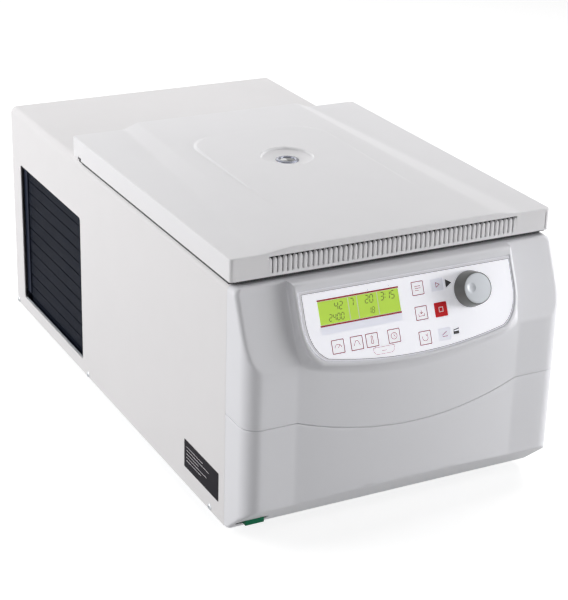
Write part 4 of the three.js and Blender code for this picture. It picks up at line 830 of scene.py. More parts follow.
def placed(name: str, template: bpy.types.Object, finish: Finish, points: Sequence[Point]) -> bpy.types.Object:
    """Repeats a template's mesh at listed points by geometry nodes.

    Args:
        name: The result's name.
        template: The object whose mesh is repeated. It is used up.
        finish: The result's finish.
        points: The places in millimetres.

    Returns:
        The result as one object.
    """
    tree = Tree(f"{name}_places")
    seats = shown(f"{name}_seats", bpy.data.meshes.new(f"{name}_seats"))
    seats.data.from_pydata([Vector(p) * MM for p in points], [], [])
    where = tree.part("ObjectInfo", Object=seats)
    made = copies_of(name, tree, template, where.outputs["Geometry"], finish)
    bpy.data.objects.remove(seats)
    return made


def coil(
    name: str, finish: Finish, turns: float, radius: float, height: float, wire: float, resolution: int
) -> bpy.types.Object:
    """Grows a coil about +Z at the origin from a spiral and a round profile.

    Args:
        name: The result's name.
        finish: Its finish.
        turns: Number of turns.
        radius: Radius of the coil's middle line in millimetres.
        height: Rise of the middle line.
        wire: Radius of the wire or tube.
        resolution: Points to a turn.

    Returns:
        The coil as one object.
    """
    tree = Tree(f"{name}_coil")
    rounds = tree.size("Turns", turns)
    reach, rise, thick = (
        tree.size(title, value * MM) for title, value in (("Radius", radius), ("Height", height), ("Wire", wire))
    )
    path = tree.part(
        "CurveSpiral", Resolution=resolution, Rotations=rounds, Start_Radius=reach, End_Radius=reach, Height=rise,
        Reverse=True,
    )  # fmt: skip
    section = tree.part("CurvePrimitiveCircle", Resolution=12, Radius=thick)
    skin = tree.part("CurveToMesh", Curve=path.outputs[0], Profile_Curve=section.outputs[0], Fill_Caps=True)
    return tree.grow(name, skin.outputs[0], finish)


@dataclass(frozen=True)
class FrontShape:
    """The moulded front's outer surface, as its distance forward at each place."""

    face: float = 710.0
    rear: float = 660.3
    corner: float = 18.0
    chin_depth: float = 42.0
    chin_height: float = 37.0
    crease: float = 133.0
    bulge: float = 8.0
    wall: float = 3.0
    top_radius: float = 8.0
    brow_radius: float = 5.0
    fold_round: float = 0.9
    seam_side: float = 142.5
    seam_dip: float = 21.5
    seam_gap: float = 0.6

    def slope_depth(self, z: float) -> float:
        """Depth of the leaned-back brow's plane."""
        return self.face - (z - FOLD_Z) * math.tan(LEAN)

    def chin(self, z: float) -> float:
        """Depth of the chin's plane."""
        return self.face - self.chin_depth + (z - BASE_Z) * self.chin_depth / self.chin_height

    def swell(self, x: float, z: float) -> float:
        """How far the bowed middle stands out."""
        radius = (self.crease**2 + self.bulge**2) / (2 * self.bulge)
        raw = math.sqrt(radius**2 - min(abs(x), radius) ** 2) - math.sqrt(radius**2 - self.crease**2)
        return smooth_max(raw, 0.0, 0.3) * (1 - smooth_step(203.0, 207.5, z))

    def depth(self, x: float, z: float) -> float:
        """Depth of the surface in the middle and round the corners.

        Args:
            x: Distance to the right of the middle.
            z: Height.

        Returns:
            The depth.
        """
        side = abs(x) - (HALF_WIDTH - self.corner)
        cap = self.face
        if side > 0:
            cap += math.sqrt(max(0.0, self.corner**2 - side**2)) - self.corner
        edge = max(0.0, abs(x) - (HALF_WIDTH - self.brow_radius))
        fall = math.sqrt(max(0.0, self.brow_radius**2 - edge**2)) - self.brow_radius
        brow = smooth_min(cap, self.slope_depth(z) + fall, self.fold_round)
        swell = self.swell(x, z)
        return smooth_min(brow + swell, self.chin(z) + fall, 1.6)

    def seam(self, x: float) -> float:
        """Height of the seam."""
        share = min(1.0, abs(x) / self.crease)
        return self.seam_side - self.seam_dip * (1 - share**2)

    def columns(self) -> list[tuple[float, float]]:
        """Pairs of X and the share along the side wall, from the left wall's rear edge to the right's."""
        turns = [90 - 90 * i / 10 for i in range(10)]
        arcs = [HALF_WIDTH - self.corner + self.corner * math.sin(math.radians(t)) for t in turns]
        walls = [(HALF_WIDTH, share) for share in (0.0, 0.1, 0.4, 0.7, 0.9)]
        half = [*walls, *[(x, 1.0) for x in arcs]]
        middle = spread(((-172.0, 0.0), (-139.0, 5.5), (-127.0, 1.5), (127.0, 6.0), (139.0, 1.5), (172.0, 5.5)))
        right = [(x, share) for x, share in reversed(half)]
        return [(-x, share) for x, share in half] + [(x, 1.0) for x in middle] + right

    def point(self, x: float, share: float, z: float, inset: float) -> Point:
        """Point of the surface drawn in by an inset.

        Args:
            x: Distance to the right of the middle.
            share: Share along the side wall from its rear edge, 1 in front of the wall.
            z: Height.
            inset: How far the point is drawn in from the surface.

        Returns:
            The point in millimetres.
        """
        depth = self.depth(x, z)
        lean_share = math.cos(LEAN) if z > FOLD_Z else 1.0
        forward = inset / lean_share
        if share < 1.0:
            end = depth - forward * 0.3
            depth = self.rear + share * (end - self.rear)
            forward = 0.0
        side = (abs(x) - (HALF_WIDTH - self.corner)) / self.corner
        if side > 0 and share == 1.0:
            forward *= math.sqrt(max(0.0, 1 - side**2)) * 0.7 + 0.3
        limit = HALF_WIDTH
        above = z - (DECK_Z - self.top_radius)
        if above > 0:
            limit += math.sqrt(max(0.0, self.top_radius**2 - above**2)) - self.top_radius
        if side > 0:
            inner = HALF_WIDTH - self.corner
            x = math.copysign(inner + (limit - inset - inner) * side, x)
        return (x, at(depth - forward), z)


@dataclass(frozen=True)
class PanelOutline:
    """The control panel's outline: straight sides, drawn-in lower corners and a bowed lower edge."""

    half: float = 131.3
    foot_half: float = 132.5
    foot_dip: float = 20.0
    foot_reach: float = 128.0
    side_end: float = 45.0
    corner_x: float = 112.0
    corner_bend: float = 10.0
    corner_side: float = 1.3
    drop: float = 11.0
    top_up: float = (DECK_Z - FOLD_Z) / math.cos(LEAN)

    def points(self, inset: float, top_inset: float) -> list[Flat]:
        """Outline from the top right corner's left, by way of the left side.

        Args:
            inset: How far the sides and the lower edge are drawn in.
            top_inset: How far the top edge is drawn in.

        Returns:
            Its points.
        """
        w, top, corner = self.half - inset, self.top_up - top_inset, self.corner_x - inset
        left = self._curve((-w, self.side_end), (-w + self.corner_side, self.corner_bend + inset), (-corner, inset), 22)
        low = self._curve((-corner, inset), (0.0, inset - 2 * self.drop), (corner, inset), 56)
        right = [(-x, up) for x, up in reversed(left)]
        side = [top - (top - self.side_end) * share for share in (0.0, 0.012, 0.05, 0.12, 0.25, 0.5, 0.75)]
        across = [w * (1 - 2 * i / 16) for i in range(1, 16)]
        found = [(x, top) for x in across] + [(-w, up) for up in side] + left + low[1:-1] + right
        return found + [(w, up) for up in reversed(side)]

    @staticmethod
    def _curve(a: Flat, b: Flat, c: Flat, steps: int) -> list[Flat]:
        """Points on a curve from a to c that is pulled toward b."""
        return [
            tuple(a[k] * (1 - t) ** 2 + 2 * b[k] * t * (1 - t) + c[k] * t**2 for k in (0, 1))
            for t in (i / steps for i in range(steps + 1))
        ]

    def foot(self) -> list[Flat]:
        """The square-cornered outline where the block's wall ends behind the slope."""
        found = []
        for x, up in self.points(0.0, 0.0):
            wide, share = abs(x), 0.0
            if wide > self.corner_x:
                share = min(1.0, (wide - self.corner_x) / (self.half - self.corner_x))
                wide = self.foot_half - (self.foot_half - self.corner_x) * (1 - share) ** 2.5
            if up < self.side_end:
                low = -self.foot_dip * (1 - (wide / self.foot_reach) ** 2)
                up = up * share**4 + low * (1 - share**4)
            found.append((math.copysign(wide, x), up))
        return found

    def normals(self) -> list[Flat]:
        """Direction square to the outline, outward, at each of its points.

        Returns:
            A direction for each point.
        """
        line = self.foot()
        count = len(line)
        found = []
        for i in range(count):
            (ax, au), (bx, bu) = line[i - 1], line[(i + 1) % count]
            dx, du = bx - ax, bu - au
            length = math.hypot(dx, du) or 1.0
            found.append((du / length, -dx / length))
        centre = Vector((0.0, 40.0))
        return [
            (nx, nu) if (Vector((x, up)) - centre).dot(Vector((nx, nu))) > 0 else (-nx, -nu)
            for (nx, nu), (x, up) in zip(found, line)
        ]

    def top_share(self, up: float) -> float:
        """How far up the side a point is: 0 below the straight side, 1 at the top edge."""
        return max(0.0, min(1.0, (up - self.side_end) / (self.top_up - self.side_end)))


def last_place(start: float, end: float, holds: Callable[[float], bool]) -> float:
    """Last place on the way from start to end where a condition still holds.

    Args:
        start: A place where it holds.
        end: A place where it doesn't.
        holds: The condition.

    Returns:
        The place, found by halving.
    """
    for _ in range(HALVINGS):
        middle = (start + end) / 2
        if holds(middle):
            start = middle
        else:
            end = middle
    return start


@dataclass(frozen=True)
class MouldedFront:
    """The grey moulded front: brow, raised panel block and lower panel."""

    shape: FrontShape = FrontShape()
    outline: PanelOutline = PanelOutline()
    waist: float = 160.0
    frame_round: float = 3.1
    behind: float = -13.0
    fillet: float = 2.6
    slot_low: Point = (-187.0, at(715.0), 21.6)
    slot_high: Point = (-151.0, at(655.0), 28.4)

    def build(self) -> list[bpy.types.Object]:
        """Builds the two mouldings."""
        return [self.upper(), self.lower()]

    def skin(self, form: Form, rows: Sequence[tuple[float, float, float]], top: bool) -> None:
        """Adds an outer and an inner surface and closes their edges.

        Args:
            form: The form that takes the faces.
            rows: For each row a share of the way from the seam, a height and an inset.
            top: Whether the rows end in a flat top.
        """
        shape, columns = self.shape, self.shape.columns()
        low = 0.0 if top else shape.seam_gap
        points: list[Point] = []
        for wall in (0.0, shape.wall):
            for share, height, inset in rows:
                for x, along in columns:
                    z = (shape.seam(x) - low) * (1 - share) + height * share
                    keep = smooth_step(129.0, 134.0, abs(x)) if top and z > DECK_Z - 6 else 1.0
                    points.append(shape.point(x, along, min(z, DECK_Z - wall), inset * keep + wall))
        across, up = len(columns), len(rows)

        def face(*cells: tuple[int, int, int]) -> tuple[int, ...]:
            """Face between points given by their layer, row and column."""
            return tuple((layer * up + row) * across + column for layer, row, column in cells)

        ends = (0,) if top else (0, up - 1)
        faces = [
            face((n, r, c), (n, r, c + 1), (n, r + 1, c + 1), (n, r + 1, c))
            for n in (0, 1)
            for r in range(up - 1)
            for c in range(across - 1)
        ]
        faces += [face((0, r, c), (0, r, c + 1), (1, r, c + 1), (1, r, c)) for c in range(across - 1) for r in ends]
        for c in (0, across - 1):
            faces += [face((0, r, c), (0, r + 1, c), (1, r + 1, c), (1, r, c)) for r in range(up - 1)]
        if top:
            r, c = up - 1, across - 1
            faces += [face(*((n, r, i) for i in range(across))) for n in (0, 1)]
            faces.append(face((0, r, 0), (0, r, c), (1, r, c), (1, r, 0)))
        form.add(points, faces)

    def upper(self) -> bpy.types.Object:
        """Builds the upper moulding with its panel block."""
        form = Form()
        seam = ((0.0, 1.0), (0.004, 0.35), (0.02, 0.05), (0.06, 0.0), (0.3, 0.0), (0.65, 0.0), (1.0, 0.0))
        heights = spread(((160.0, 0.0), (198.0, 6.0), (218.0, 1.2), (274.0, 7.0), (281.0, 1.4), (284.0, 0.75)))
        rows = [(share, self.waist, inset) for share, inset in seam]
        rows += [(1.0, z, 0.0) for z in heights[1:]]
        rows += [(1.0, 284.8, 0.12), (1.0, 285.4, 0.5), (1.0, 285.8, 1.1), (1.0, DECK_Z, 2.0)]
        self.skin(form, rows, True)
        self.block(form)
        return form.piece(
            "front_moulding", "housing", GREY_MOULDING, replaces=("front_housing",), slot="grey_moulding"
        )

    def lower(self) -> bpy.types.Object:
        """Builds the lower panel with the release tab's slot."""
        form = Form()
        seam = ((0.0, 1.0), (0.003, 0.35), (0.012, 0.05), (0.04, 0.0), (0.15, 0.0), (0.3, 0.0), (0.45, 0.0), (0.6, 0.0))
        rows = [(share, BASE_Z, inset) for share, inset in seam]
        rows += [(1.0, z, 0.0) for z in spread(((56.0, 0.0), (38.0, 1.5), (12.0, 4.0)))]
        rows += [(1.0, 11.0, 0.2), (1.0, BASE_Z, 1.0)]
        self.skin(form, rows, False)
        moulding = form.object("lower_front_moulding")
        carved(moulding, Form().box(self.slot_low, self.slot_high).object("tab_slot"))
        return dress(moulding, "housing", GREY_MOULDING, replaces=("lower_front_panel",), slot="grey_moulding")

    def block(self, form: Form) -> None:
        """Adds the raised panel block with its rounded frame, recess and soft foot.

        Args:
            form: The form that takes the faces.
        """
        outline, radius = self.outline, self.frame_round
        face, foot, normals = outline.points(0.0, 0.0), outline.foot(), outline.normals()
        long = abs(self.behind + radius)

        def place(i: int, x: float, up: float, out: float) -> Point:
            """Point of the block, where the sides' upper ends run level behind the face."""
            lift = -out * math.tan(LEAN) * outline.top_share(face[i][1]) if out < 0 else 0.0
            return panel(x, up + lift, out)

        def height(point: Point) -> float:
            """How far a point stands in front of the moulding."""
            return WHOLE_DEPTH / 2 - point[1] - self.shape.depth(point[0], point[2])

        def wall(i: int, share: float) -> Point:
            """Point on the block's wall, from its face at 0 to its foot at 1."""
            (fx, fu), (bx, bu) = face[i], foot[i]
            return place(i, fx + (bx - fx) * share, fu + (bu - fu) * share, -radius + (self.behind + radius) * share)

        loops: list[list[Point]] = [[] for _ in range(8)]
        for i, ((fx, fu), (bx, bu), (nx, nu)) in enumerate(zip(face, foot, normals)):
            top = outline.top_share(fu)
            fillet = self.fillet * (1 - smooth_step(0.85, 1.0, top))
            meet = min(last_place(0.0, 1.0, lambda share: height(wall(i, share)) > 0), 0.97)
            ox, ou = fx + (bx - fx) * meet + nx * fillet, fu + (bu - fu) * meet + nu * fillet
            under = last_place(-20.0, 0.0, lambda out: height(panel(ox, ou, out)) <= 0)
            end = Vector(panel(ox, ou, under - 0.12)) if fillet > 0.05 else Vector(wall(i, min(1.0, meet + 0.02)))
            first, second = Vector(wall(i, max(0.0, meet - fillet / long))), Vector(wall(i, meet))
            loops[0].append(wall(i, 1.0))
            loops[1].append(tuple(end - Vector((0.0, 0.0, 0.3 if top > 0.9 else 0.0))))
            for level, share in enumerate((0.84, 0.66, 0.5, 0.33, 0.16), 2):
                curve = first * (1 - share) ** 2 + second * 2 * share * (1 - share) + end * share**2
                loops[level].append(tuple(curve))
            loops[7].append(tuple(first))
        for turn in (0, 18, 36, 54, 72, 90):
            angle = math.radians(turn)
            inset, out = radius * (1 - math.cos(angle)), -radius * (1 - math.sin(angle))
            loops.append([place(i, x, up, out) for i, (x, up) in enumerate(outline.points(inset, inset))])
        for inset, top_inset, out in ((3.9, 7.9, 0.0), (4.15, 8.15, -0.08), (4.28, 8.28, -0.3), (4.3, 8.3, -2.2)):
            loops.append([panel(x, up, out) for x, up in outline.points(inset, top_inset)])
        form.loft(loops, caps=True)


@dataclass(frozen=True)
class Key:
    """One key of the control membrane."""

    node: str
    body: str
    x: float
    up: float
    high: float = 15.5
    finish: Finish = FILM
    framed: bool = True


KEYS = (
    Key("key_program", "program_key", 10.2, 60.2),
    Key("key_store", "store_key", 10.2, 34.3),
    Key("key_short_spin", "short_spin_key", 10.2, 8.4),
    Key("key_start", "start_key", 33.9, 60.2, 12.8, LILAC_FILM, False),
    Key("key_stop", "stop_key", 33.9, 34.3, 15.5, RED_FILM, False),
    Key("key_lid_open", "lid_open_key", 33.9, 8.4, 12.8, LILAC_FILM, False),
    Key("key_speed", "speed_key", -91.0, 16.6),
    Key("key_acceleration", "acceleration_key", -69.4, 16.6),
    Key("key_temperature", "temperature_key", -51.6, 16.6),
    Key("key_time", "time_key", -25.7, 16.6),
)

PICTURES: dict[str, tuple[tuple[Flat, ...], ...]] = {
    "key_program": (((-3.6, 2.2), (3.6, 2.2)), ((-3.6, 0.0), (3.6, 0.0)), ((-3.6, -2.2), (1.2, -2.2))),
    "key_store": (
        ((0.0, 3.2), (0.0, -0.9)),
        ((-1.9, 1.0), (0.0, -0.9), (1.9, 1.0)),
        ((-3.4, -0.6), (-3.4, -3.0), (3.4, -3.0), (3.4, -0.6)),
    ),
    "key_short_spin": (tuple(arc((0.0, 0.0), 3.2, 140, 400, 18)), ((0.4, 3.0), (2.5, 2.1), (2.9, 4.3))),
    "key_start": (((-1.7, 2.4), (2.4, 0.0), (-1.7, -2.4), (-1.7, 2.4)),),
    "key_stop": (((-2.3, 2.3), (2.3, 2.3), (2.3, -2.3), (-2.3, -2.3), (-2.3, 2.3)),),
    "key_lid_open": (((-3.2, -2.4), (3.2, -2.4)), ((-3.2, -0.9), (2.6, 2.6))),
    "key_speed": (tuple(arc((0.0, -1.4), 3.8, 0, 180, 14)), ((0.0, -1.4), (2.0, 1.3))),
    "key_acceleration": (((-3.6, -2.6), (-1.2, 2.4), (1.4, 2.4), (3.6, -2.6)),),
    "key_temperature": (
        ((-0.9, 3.4), (-0.9, -0.8)),
        ((0.9, 3.4), (0.9, -0.8)),
        tuple(arc((0.0, -2.1), 1.6, 125, 415, 14)),
        tuple(arc((0.0, 3.4), 0.9, 0, 180, 6)),
    ),
    "key_time": (tuple(arc((0.0, 0.0), 3.4, 0, 360, 24)), ((0.0, 2.2), (0.0, 0.0), (1.7, -0.9))),
}


def stroke(
    form: Form, path: Sequence[Flat], width: float, x: float, up: float, low: float, high: float, slot: int = 0
) -> None:
    """Adds a thin printed line on the panel.

    Args:
        form: The form that takes the faces.
        path: The line's points about its centre.
        width: The line's width.
        x: The centre's distance to the right of the middle.
        up: The centre's distance up the slope.
        low: Height of the line's underside over the panel.
        high: Height of its face.
        slot: Which of the piece's finishes the faces take.
    """
    closed = math.dist(path[0], path[-1]) < 1e-6
    line = list(path[:-1]) if closed else list(path)
    sides: list[list[Flat]] = [[], []]
    count = len(line)
    for i, (px, pu) in enumerate(line):
        before = [line[i - 1]] if closed or i else []
        after = [line[(i + 1) % count]] if closed or i < count - 1 else []
        steps = [Vector((px - a, pu - b)).normalized() for a, b in before]
        steps += [Vector((a - px, b - pu)).normalized() for a, b in after]
        mean = sum(steps, Vector((0.0, 0.0))).normalized()
        square = Vector((-mean[1], mean[0]))
        reach = width / 2 / max(0.5, abs(mean.dot(steps[0])))
        for side, sign in zip(sides, (-1, 1)):
            side.append((x + px + sign * reach * square[0], up + pu + sign * reach * square[1]))
    rings = [[panel(a, b, h) for a, b in side] for side, h in ((sides[0], low), (sides[0], high))]
    rings += [[panel(a, b, h) for a, b in side] for side, h in ((sides[1], high), (sides[1], low))]
    loops = [[ring[i] for ring in rings] for i in range(count)]
    form.loft(loops, slot, caps=not closed, ring=closed)


SEGMENTS: dict[str, tuple[Flat, Flat]] = {
    "a": ((0.0, 2.0), (1.0, 2.0)),
    "b": ((1.0, 2.0), (1.0, 1.0)),
    "c": ((1.0, 1.0), (1.0, 0.0)),
    "d": ((0.0, 0.0), (1.0, 0.0)),
    "e": ((0.0, 1.0), (0.0, 0.0)),
    "f": ((0.0, 2.0), (0.0, 1.0)),
    "g": ((0.0, 1.0), (1.0, 1.0)),
}
DIGITS = {
    "0": "abcdef", "1": "bc", "2": "abged", "3": "abgcd", "4": "fgbc",
    "5": "afgcd", "6": "afgedc", "7": "abc", "8": "abcdefg", "9": "abcfgd",
}  # fmt: skip


def digits(
    form: Form, text: str, x: float, up: float, tall: float, low: float, high: float, slot: int, slant: float = 0.12
) -> None:
    """Adds a number in bar digits, read from its left end.

    Args:
        form: The form that takes the faces.
        text: Digits, spaces and colons.
        x: Left end of the first digit.
        up: Lower edge of the digits.
        tall: Height of a digit.
        low: Height of the bars' underside over the panel.
        high: Height of their face.
        slot: Which of the piece's finishes the bars take.
        slant: Share of the height by which the top leans to the right.
    """
    wide, width = tall * 0.46, tall * 0.1
    gap = width * 0.62
    for letter in text:
        if letter == ":":
            for share in (0.3, 0.7):
                y = up + tall * share
                form.plate(circle(x + slant * tall * share, y, width * 0.6, 8), low, high, panel, slot=slot)
            x += wide * 0.5
            continue
        for name in DIGITS.get(letter, ""):
            (ax, ay), (bx, by) = SEGMENTS[name]
            a = Vector((x + ax * wide + slant * ay * tall / 2, up + ay * tall / 2))
            b = Vector((x + bx * wide + slant * by * tall / 2, up + by * tall / 2))
            along = (b - a).normalized()
            a, b = a + along * gap, b - along * gap
            stroke(form, [tuple(a), tuple(b)], width, 0.0, 0.0, low, high, slot)
        x += wide + tall * 0.24


@dataclass(frozen=True)
class ControlPanel:
    """The membrane with its print, the display, the keys and the selector knob."""

    outline: PanelOutline = PanelOutline()
    face: float = -0.4
    print_high: float = -0.36
    key_side: float = 15.5
    key_gap: float = 0.5
    under: float = -4.6
    display_at: Flat = (-59.7, 52.2)
    display_wide: float = 94.0
    display_high: float = 24.0
    dividers: tuple[float, ...] = (0.37, 0.48, 0.73)
    tag_at: Flat = (-39.4, 4.4)
    knob_at: Flat = (71.9, 49.9)
    knob_start: float = -0.1
    knob_deep: float = 16.5
    dimple_reach: float = 5.2
    dimple_deep: float = 1.15

    def build(self) -> list[bpy.types.Object]:
        """Builds everything on the raised panel."""
        made = [self.membrane(), self.display(), *[self.key(key) for key in KEYS], *self.knob()]
        return [*made, refined("control_board", CIRCUIT, 0.2)]

    def membrane(self) -> bpy.types.Object:
        """Builds the film with its openings and its print.

        Returns:
            The finished piece.
        """
        form = Form()
        holes = [rounded_box(*self.display_at, self.display_wide, self.display_high, 0.6, 3)]
        holes += [rounded_box(key.x, key.up, self.key_side, key.high, 1.0, 3) for key in KEYS]
        holes.append(circle(*self.knob_at, 3.4, 28))
        form.plate(self.outline.points(5.3, 9.3), -2.1, self.face, panel, [h[::-1] for h in holes])
        low, high = self.face - 0.1, self.print_high
        right = self.outline.half - 6.2
        field = [(x + 2.2 * (right - x) / (2 * right), up) for x, up in self.outline.points(6.2, 12.2)]
        form.plate(self.outline.points(5.5, 9.5), low, high - 0.03, panel, [field[::-1]], slot=4)
        stroke(form, [*field, field[0]], 0.55, 0.0, 0.0, low, high, 5)
        patch = [(-107.5, 30.2), (-12.5, 30.2), (-12.5, 39.2), (-107.5, 39.2)]
        form.plate(patch, low, high - 0.02, panel, slot=1)
        for up in (65.2, 39.2):
            stroke(form, [(-47.4, 0.0), (47.4, 0.0)], 1.7, self.display_at[0], up, low, high, 2)
        for mark in (
            [(43.8, 64.6), (43.8, 55.4), (51.2, 60.0)],
            [(44.4, 6.2), (51.2, 6.2), (51.6, 9.4), (44.6, 9.4)],
            [(44.6, 9.9), (51.6, 11.2), (51.6, 12.4), (44.6, 11.1)],
        ):
            form.plate(mark, low, high, panel, slot=3)
        self.tag(form, low, high)
        for text, x in (("1", -92.0), ("2", -66.0), ("3", -49.0), ("4", -24.0)):
            digits(form, text, x, 67.0, 2.6, low, high, 3, 0.0)
        return form.piece(
            "membrane_film", "housing", FILM, LILAC_FILM, RED_INK, BLACK_INK, BORDER_FILM, BORDER_LINE,
            replaces=("control_membrane",), slot="white_membrane",
        )  # fmt: skip

    def tag(self, form: Form, low: float, high: float) -> None:
        """Adds the outlined tag under two of the keys.

        Args:
            form: The form that takes the faces.
            low: Height of the lines' underside over the panel.
            high: Height of their face.
        """
        (x, up), w, h = self.tag_at, 12.25, 3.55
        shape = [(-w, h), (-w, -h * 0.2), (-w + 3.4, -h), (w - 3.4, -h), (w, -h * 0.2), (w, h), (-w, h)]
        stroke(form, shape, 0.4, x, up, low, high, 2)
        for tick in (-49.0, -28.6):
            stroke(form, [(0.0, 0.0), (0.0, 1.4)], 0.4, tick, 7.5, low, high, 2)
        stroke(form, [(-3.0, 0.0), (3.0, 0.0)], 0.5, x, up - 0.4, low, high, 2)

    def display(self) -> bpy.types.Object:
        """Builds the window with bar digits under its face.

        Returns:
            The finished piece.
        """
        form = Form()
        (x, up), wide, high = self.display_at, self.display_wide, self.display_high
        form.plate(rounded_box(x, up, wide - 0.4, high - 0.4, 0.6, 3), self.under, self.face - 0.3, panel)
        low, top = self.face - 0.35, self.face - 0.26
        for share in self.dividers:
            stroke(form, [(0.0, -11.4), (0.0, 11.4)], 0.8, x - wide / 2 + wide * share, up, low, top, 2)
        for text, start, foot, tall in (
            ("42", -88.0, 53.4, 7.6), ("2400", -96.0, 43.0, 6.6), ("7", -70.0, 54.4, 7.6),
            ("20", -52.5, 54.6, 7.6), ("18", -50.5, 43.6, 6.0), ("3:15", -34.5, 54.8, 7.6),
        ):  # fmt: skip
            digits(form, text, start, foot, tall, low, top, 1)
        return form.piece(
            "display_glass", "housing", DISPLAY_GREEN, DISPLAY_DARK, DISPLAY_LINE,
            replaces=("display",), slot="display_window",
        )  # fmt: skip

    def key(self, key: Key) -> bpy.types.Object:
        """Builds one key cap with its outline and its plain sign.

        Args:
            key: The key.

        Returns:
            The finished piece.
        """
        form = Form()
        top = self.face + 0.02
        wide, high = self.key_side - self.key_gap, key.high - self.key_gap

        def outline(inset: float, radius: float) -> list[Flat]:
            """The cap's outline, this much less wide and high."""
            return rounded_box(key.x, key.up, wide - inset, high - inset, radius, 4)

        rings = ((outline(0.0, 0.9), self.under), (outline(0.0, 0.9), top - 0.15), (outline(0.3, 0.8), top))
        form.loft([[panel(x, up, out) for x, up in ring] for ring, out in rings], caps=True)
        low, face = top - 0.05, top + 0.03
        if key.framed:
            form.plate(outline(0.4, 0.7), low, face + 0.02, panel, [outline(2.3, 0.3)[::-1]], slot=2)
        for path in PICTURES[key.node]:
            stroke(form, path, 0.62, key.x, key.up, low, face, 1)
        ink = WHITE_INK if key.finish is RED_FILM else RED_INK
        slots = {FILM.name: "white_membrane", LILAC_FILM.name: "lilac_membrane", RED_FILM.name: "red_membrane"}
        slot = slots[key.finish.name]
        return form.piece(f"{key.node}_cap", key.body, key.finish, ink, KEY_LINE, replaces=(key.node,), slot=slot)

    def knob(self) -> list[bpy.types.Object]:
        """Turns the knob and its dished light cap.

        Returns:
            Both pieces.
        """
        (x, up), start = self.knob_at, self.knob_start
        end = start + self.knob_deep
        profile = [
            (0.0, -7.2), (3.0, -7.2), (3.0, start + 0.6), (17.6, start + 0.6), (17.9, start), (19.0, start),
            (19.35, start + 0.3), (19.5, start + 0.9), (19.45, start + 2.4), (17.3, end - 2.6),
            (17.05, end - 1.3), (16.75, end - 0.45), (16.45, end - 0.1), (16.15, end - 0.1), (16.1, end - 0.4),
            (16.1, end - 1.8), (0.0, end - 1.8),
        ]  # fmt: skip
        body = Form().lathe(profile, 72, panel, x, up)
        made = body.piece("knob_body", "knob", KNOB_DARK, replaces=("selector_knob",), slot="dark_plastic", sharp=40.0)
        face = [(0.0, end - 1.5), (15.8, end - 1.5), (15.9, end - 0.6), (15.5, end - 0.12), (14.6, end), (0.0, end)]
        disc = Form().lathe(face, 72, panel, x, up).object("knob_cap_face")
        deep = self.dimple_deep
        size = (self.dimple_reach**2 + deep**2) / (2 * deep)
        turns = [math.radians(a) for a in (0, 4, 8, 12, 16, 20, 24, 28, 34)]
        ball = [(size * math.sin(t), end - deep + size * (1 - math.cos(t))) for t in turns]
        carved(disc, Form().lathe([*ball, (0.0, end + 4.0)], 40, panel, x - 7.5, up + 1.7).object("dimple"))
        return [made, dress(disc, "knob", KNOB_LIGHT, replaces=("knob_cap",), slot="knob_face", sharp=16.0)]


@dataclass(frozen=True)
class LidShape:
    """The lid's upper surface as a height over each place."""

    half: float = 191.0
    rear: float = 233.0
    front: float = 668.4
    bow: float = 0.4
    low: float = 290.0
    top: float = 315.0
    rise_rear: float = 6.6
    rise_front: float = 3.8
    outer: float = 126.0
    outer_fan: float = 28.0
    inner: float = 108.0
    inner_fan: float = 14.0
    step_half: float = 87.5
    step_rear: float = 317.0
    step_fade: float = 566.0
    step_rise: float = 2.6
    step_corner: float = 46.0
    edge: float = 1.6
    corner: float = 3.2
    dish: float = 31.4
    dish_floor: float = 316.95

    def rise(self, depth: float) -> float:
        """Rise of the middle over the flat margins."""
        share = (depth - self.rear) / (self.front - self.rear)
        return self.rise_rear + (self.rise_front - self.rise_rear) * share

    def front_depth(self, x: float) -> float:
        """Depth of the bowed front edge."""
        return self.front + self.bow * (1 - (x / (self.half - self.corner)) ** 2)

    def height(self, x: float, depth: float) -> float:
        """Height of the surface.

        Args:
            x: Distance to the right of the middle.
            depth: Depth of the place.

        Returns:
            The height.
        """
        run = (depth - self.rear) / (self.front - self.rear)
        outer, inner = self.outer + self.outer_fan * run, self.inner + self.inner_fan * run
        slope = (outer - abs(x)) / (outer - inner)
        share = smooth_max(0.0, smooth_min(1.0, slope, 0.16), 0.16)
        z = self.top + self.rise(depth) * share
        w, r = self.step_half, self.step_corner
        dx = max(0.0, abs(x) - (w - r))
        dd = max(0.0, self.step_rear + r - depth)
        inside = r - math.hypot(dx, dd)
        lift = self.step_rise * max(0.0, min(1.0, (self.step_fade - depth) / (self.step_fade - self.step_rear)))
        return z + lift * smooth_step(-0.2, 0.5 + 1.4 * lift, inside)


SKIRT_TURNS = (0, 11, 22, 34, 45, 56, 68, 79, 90)


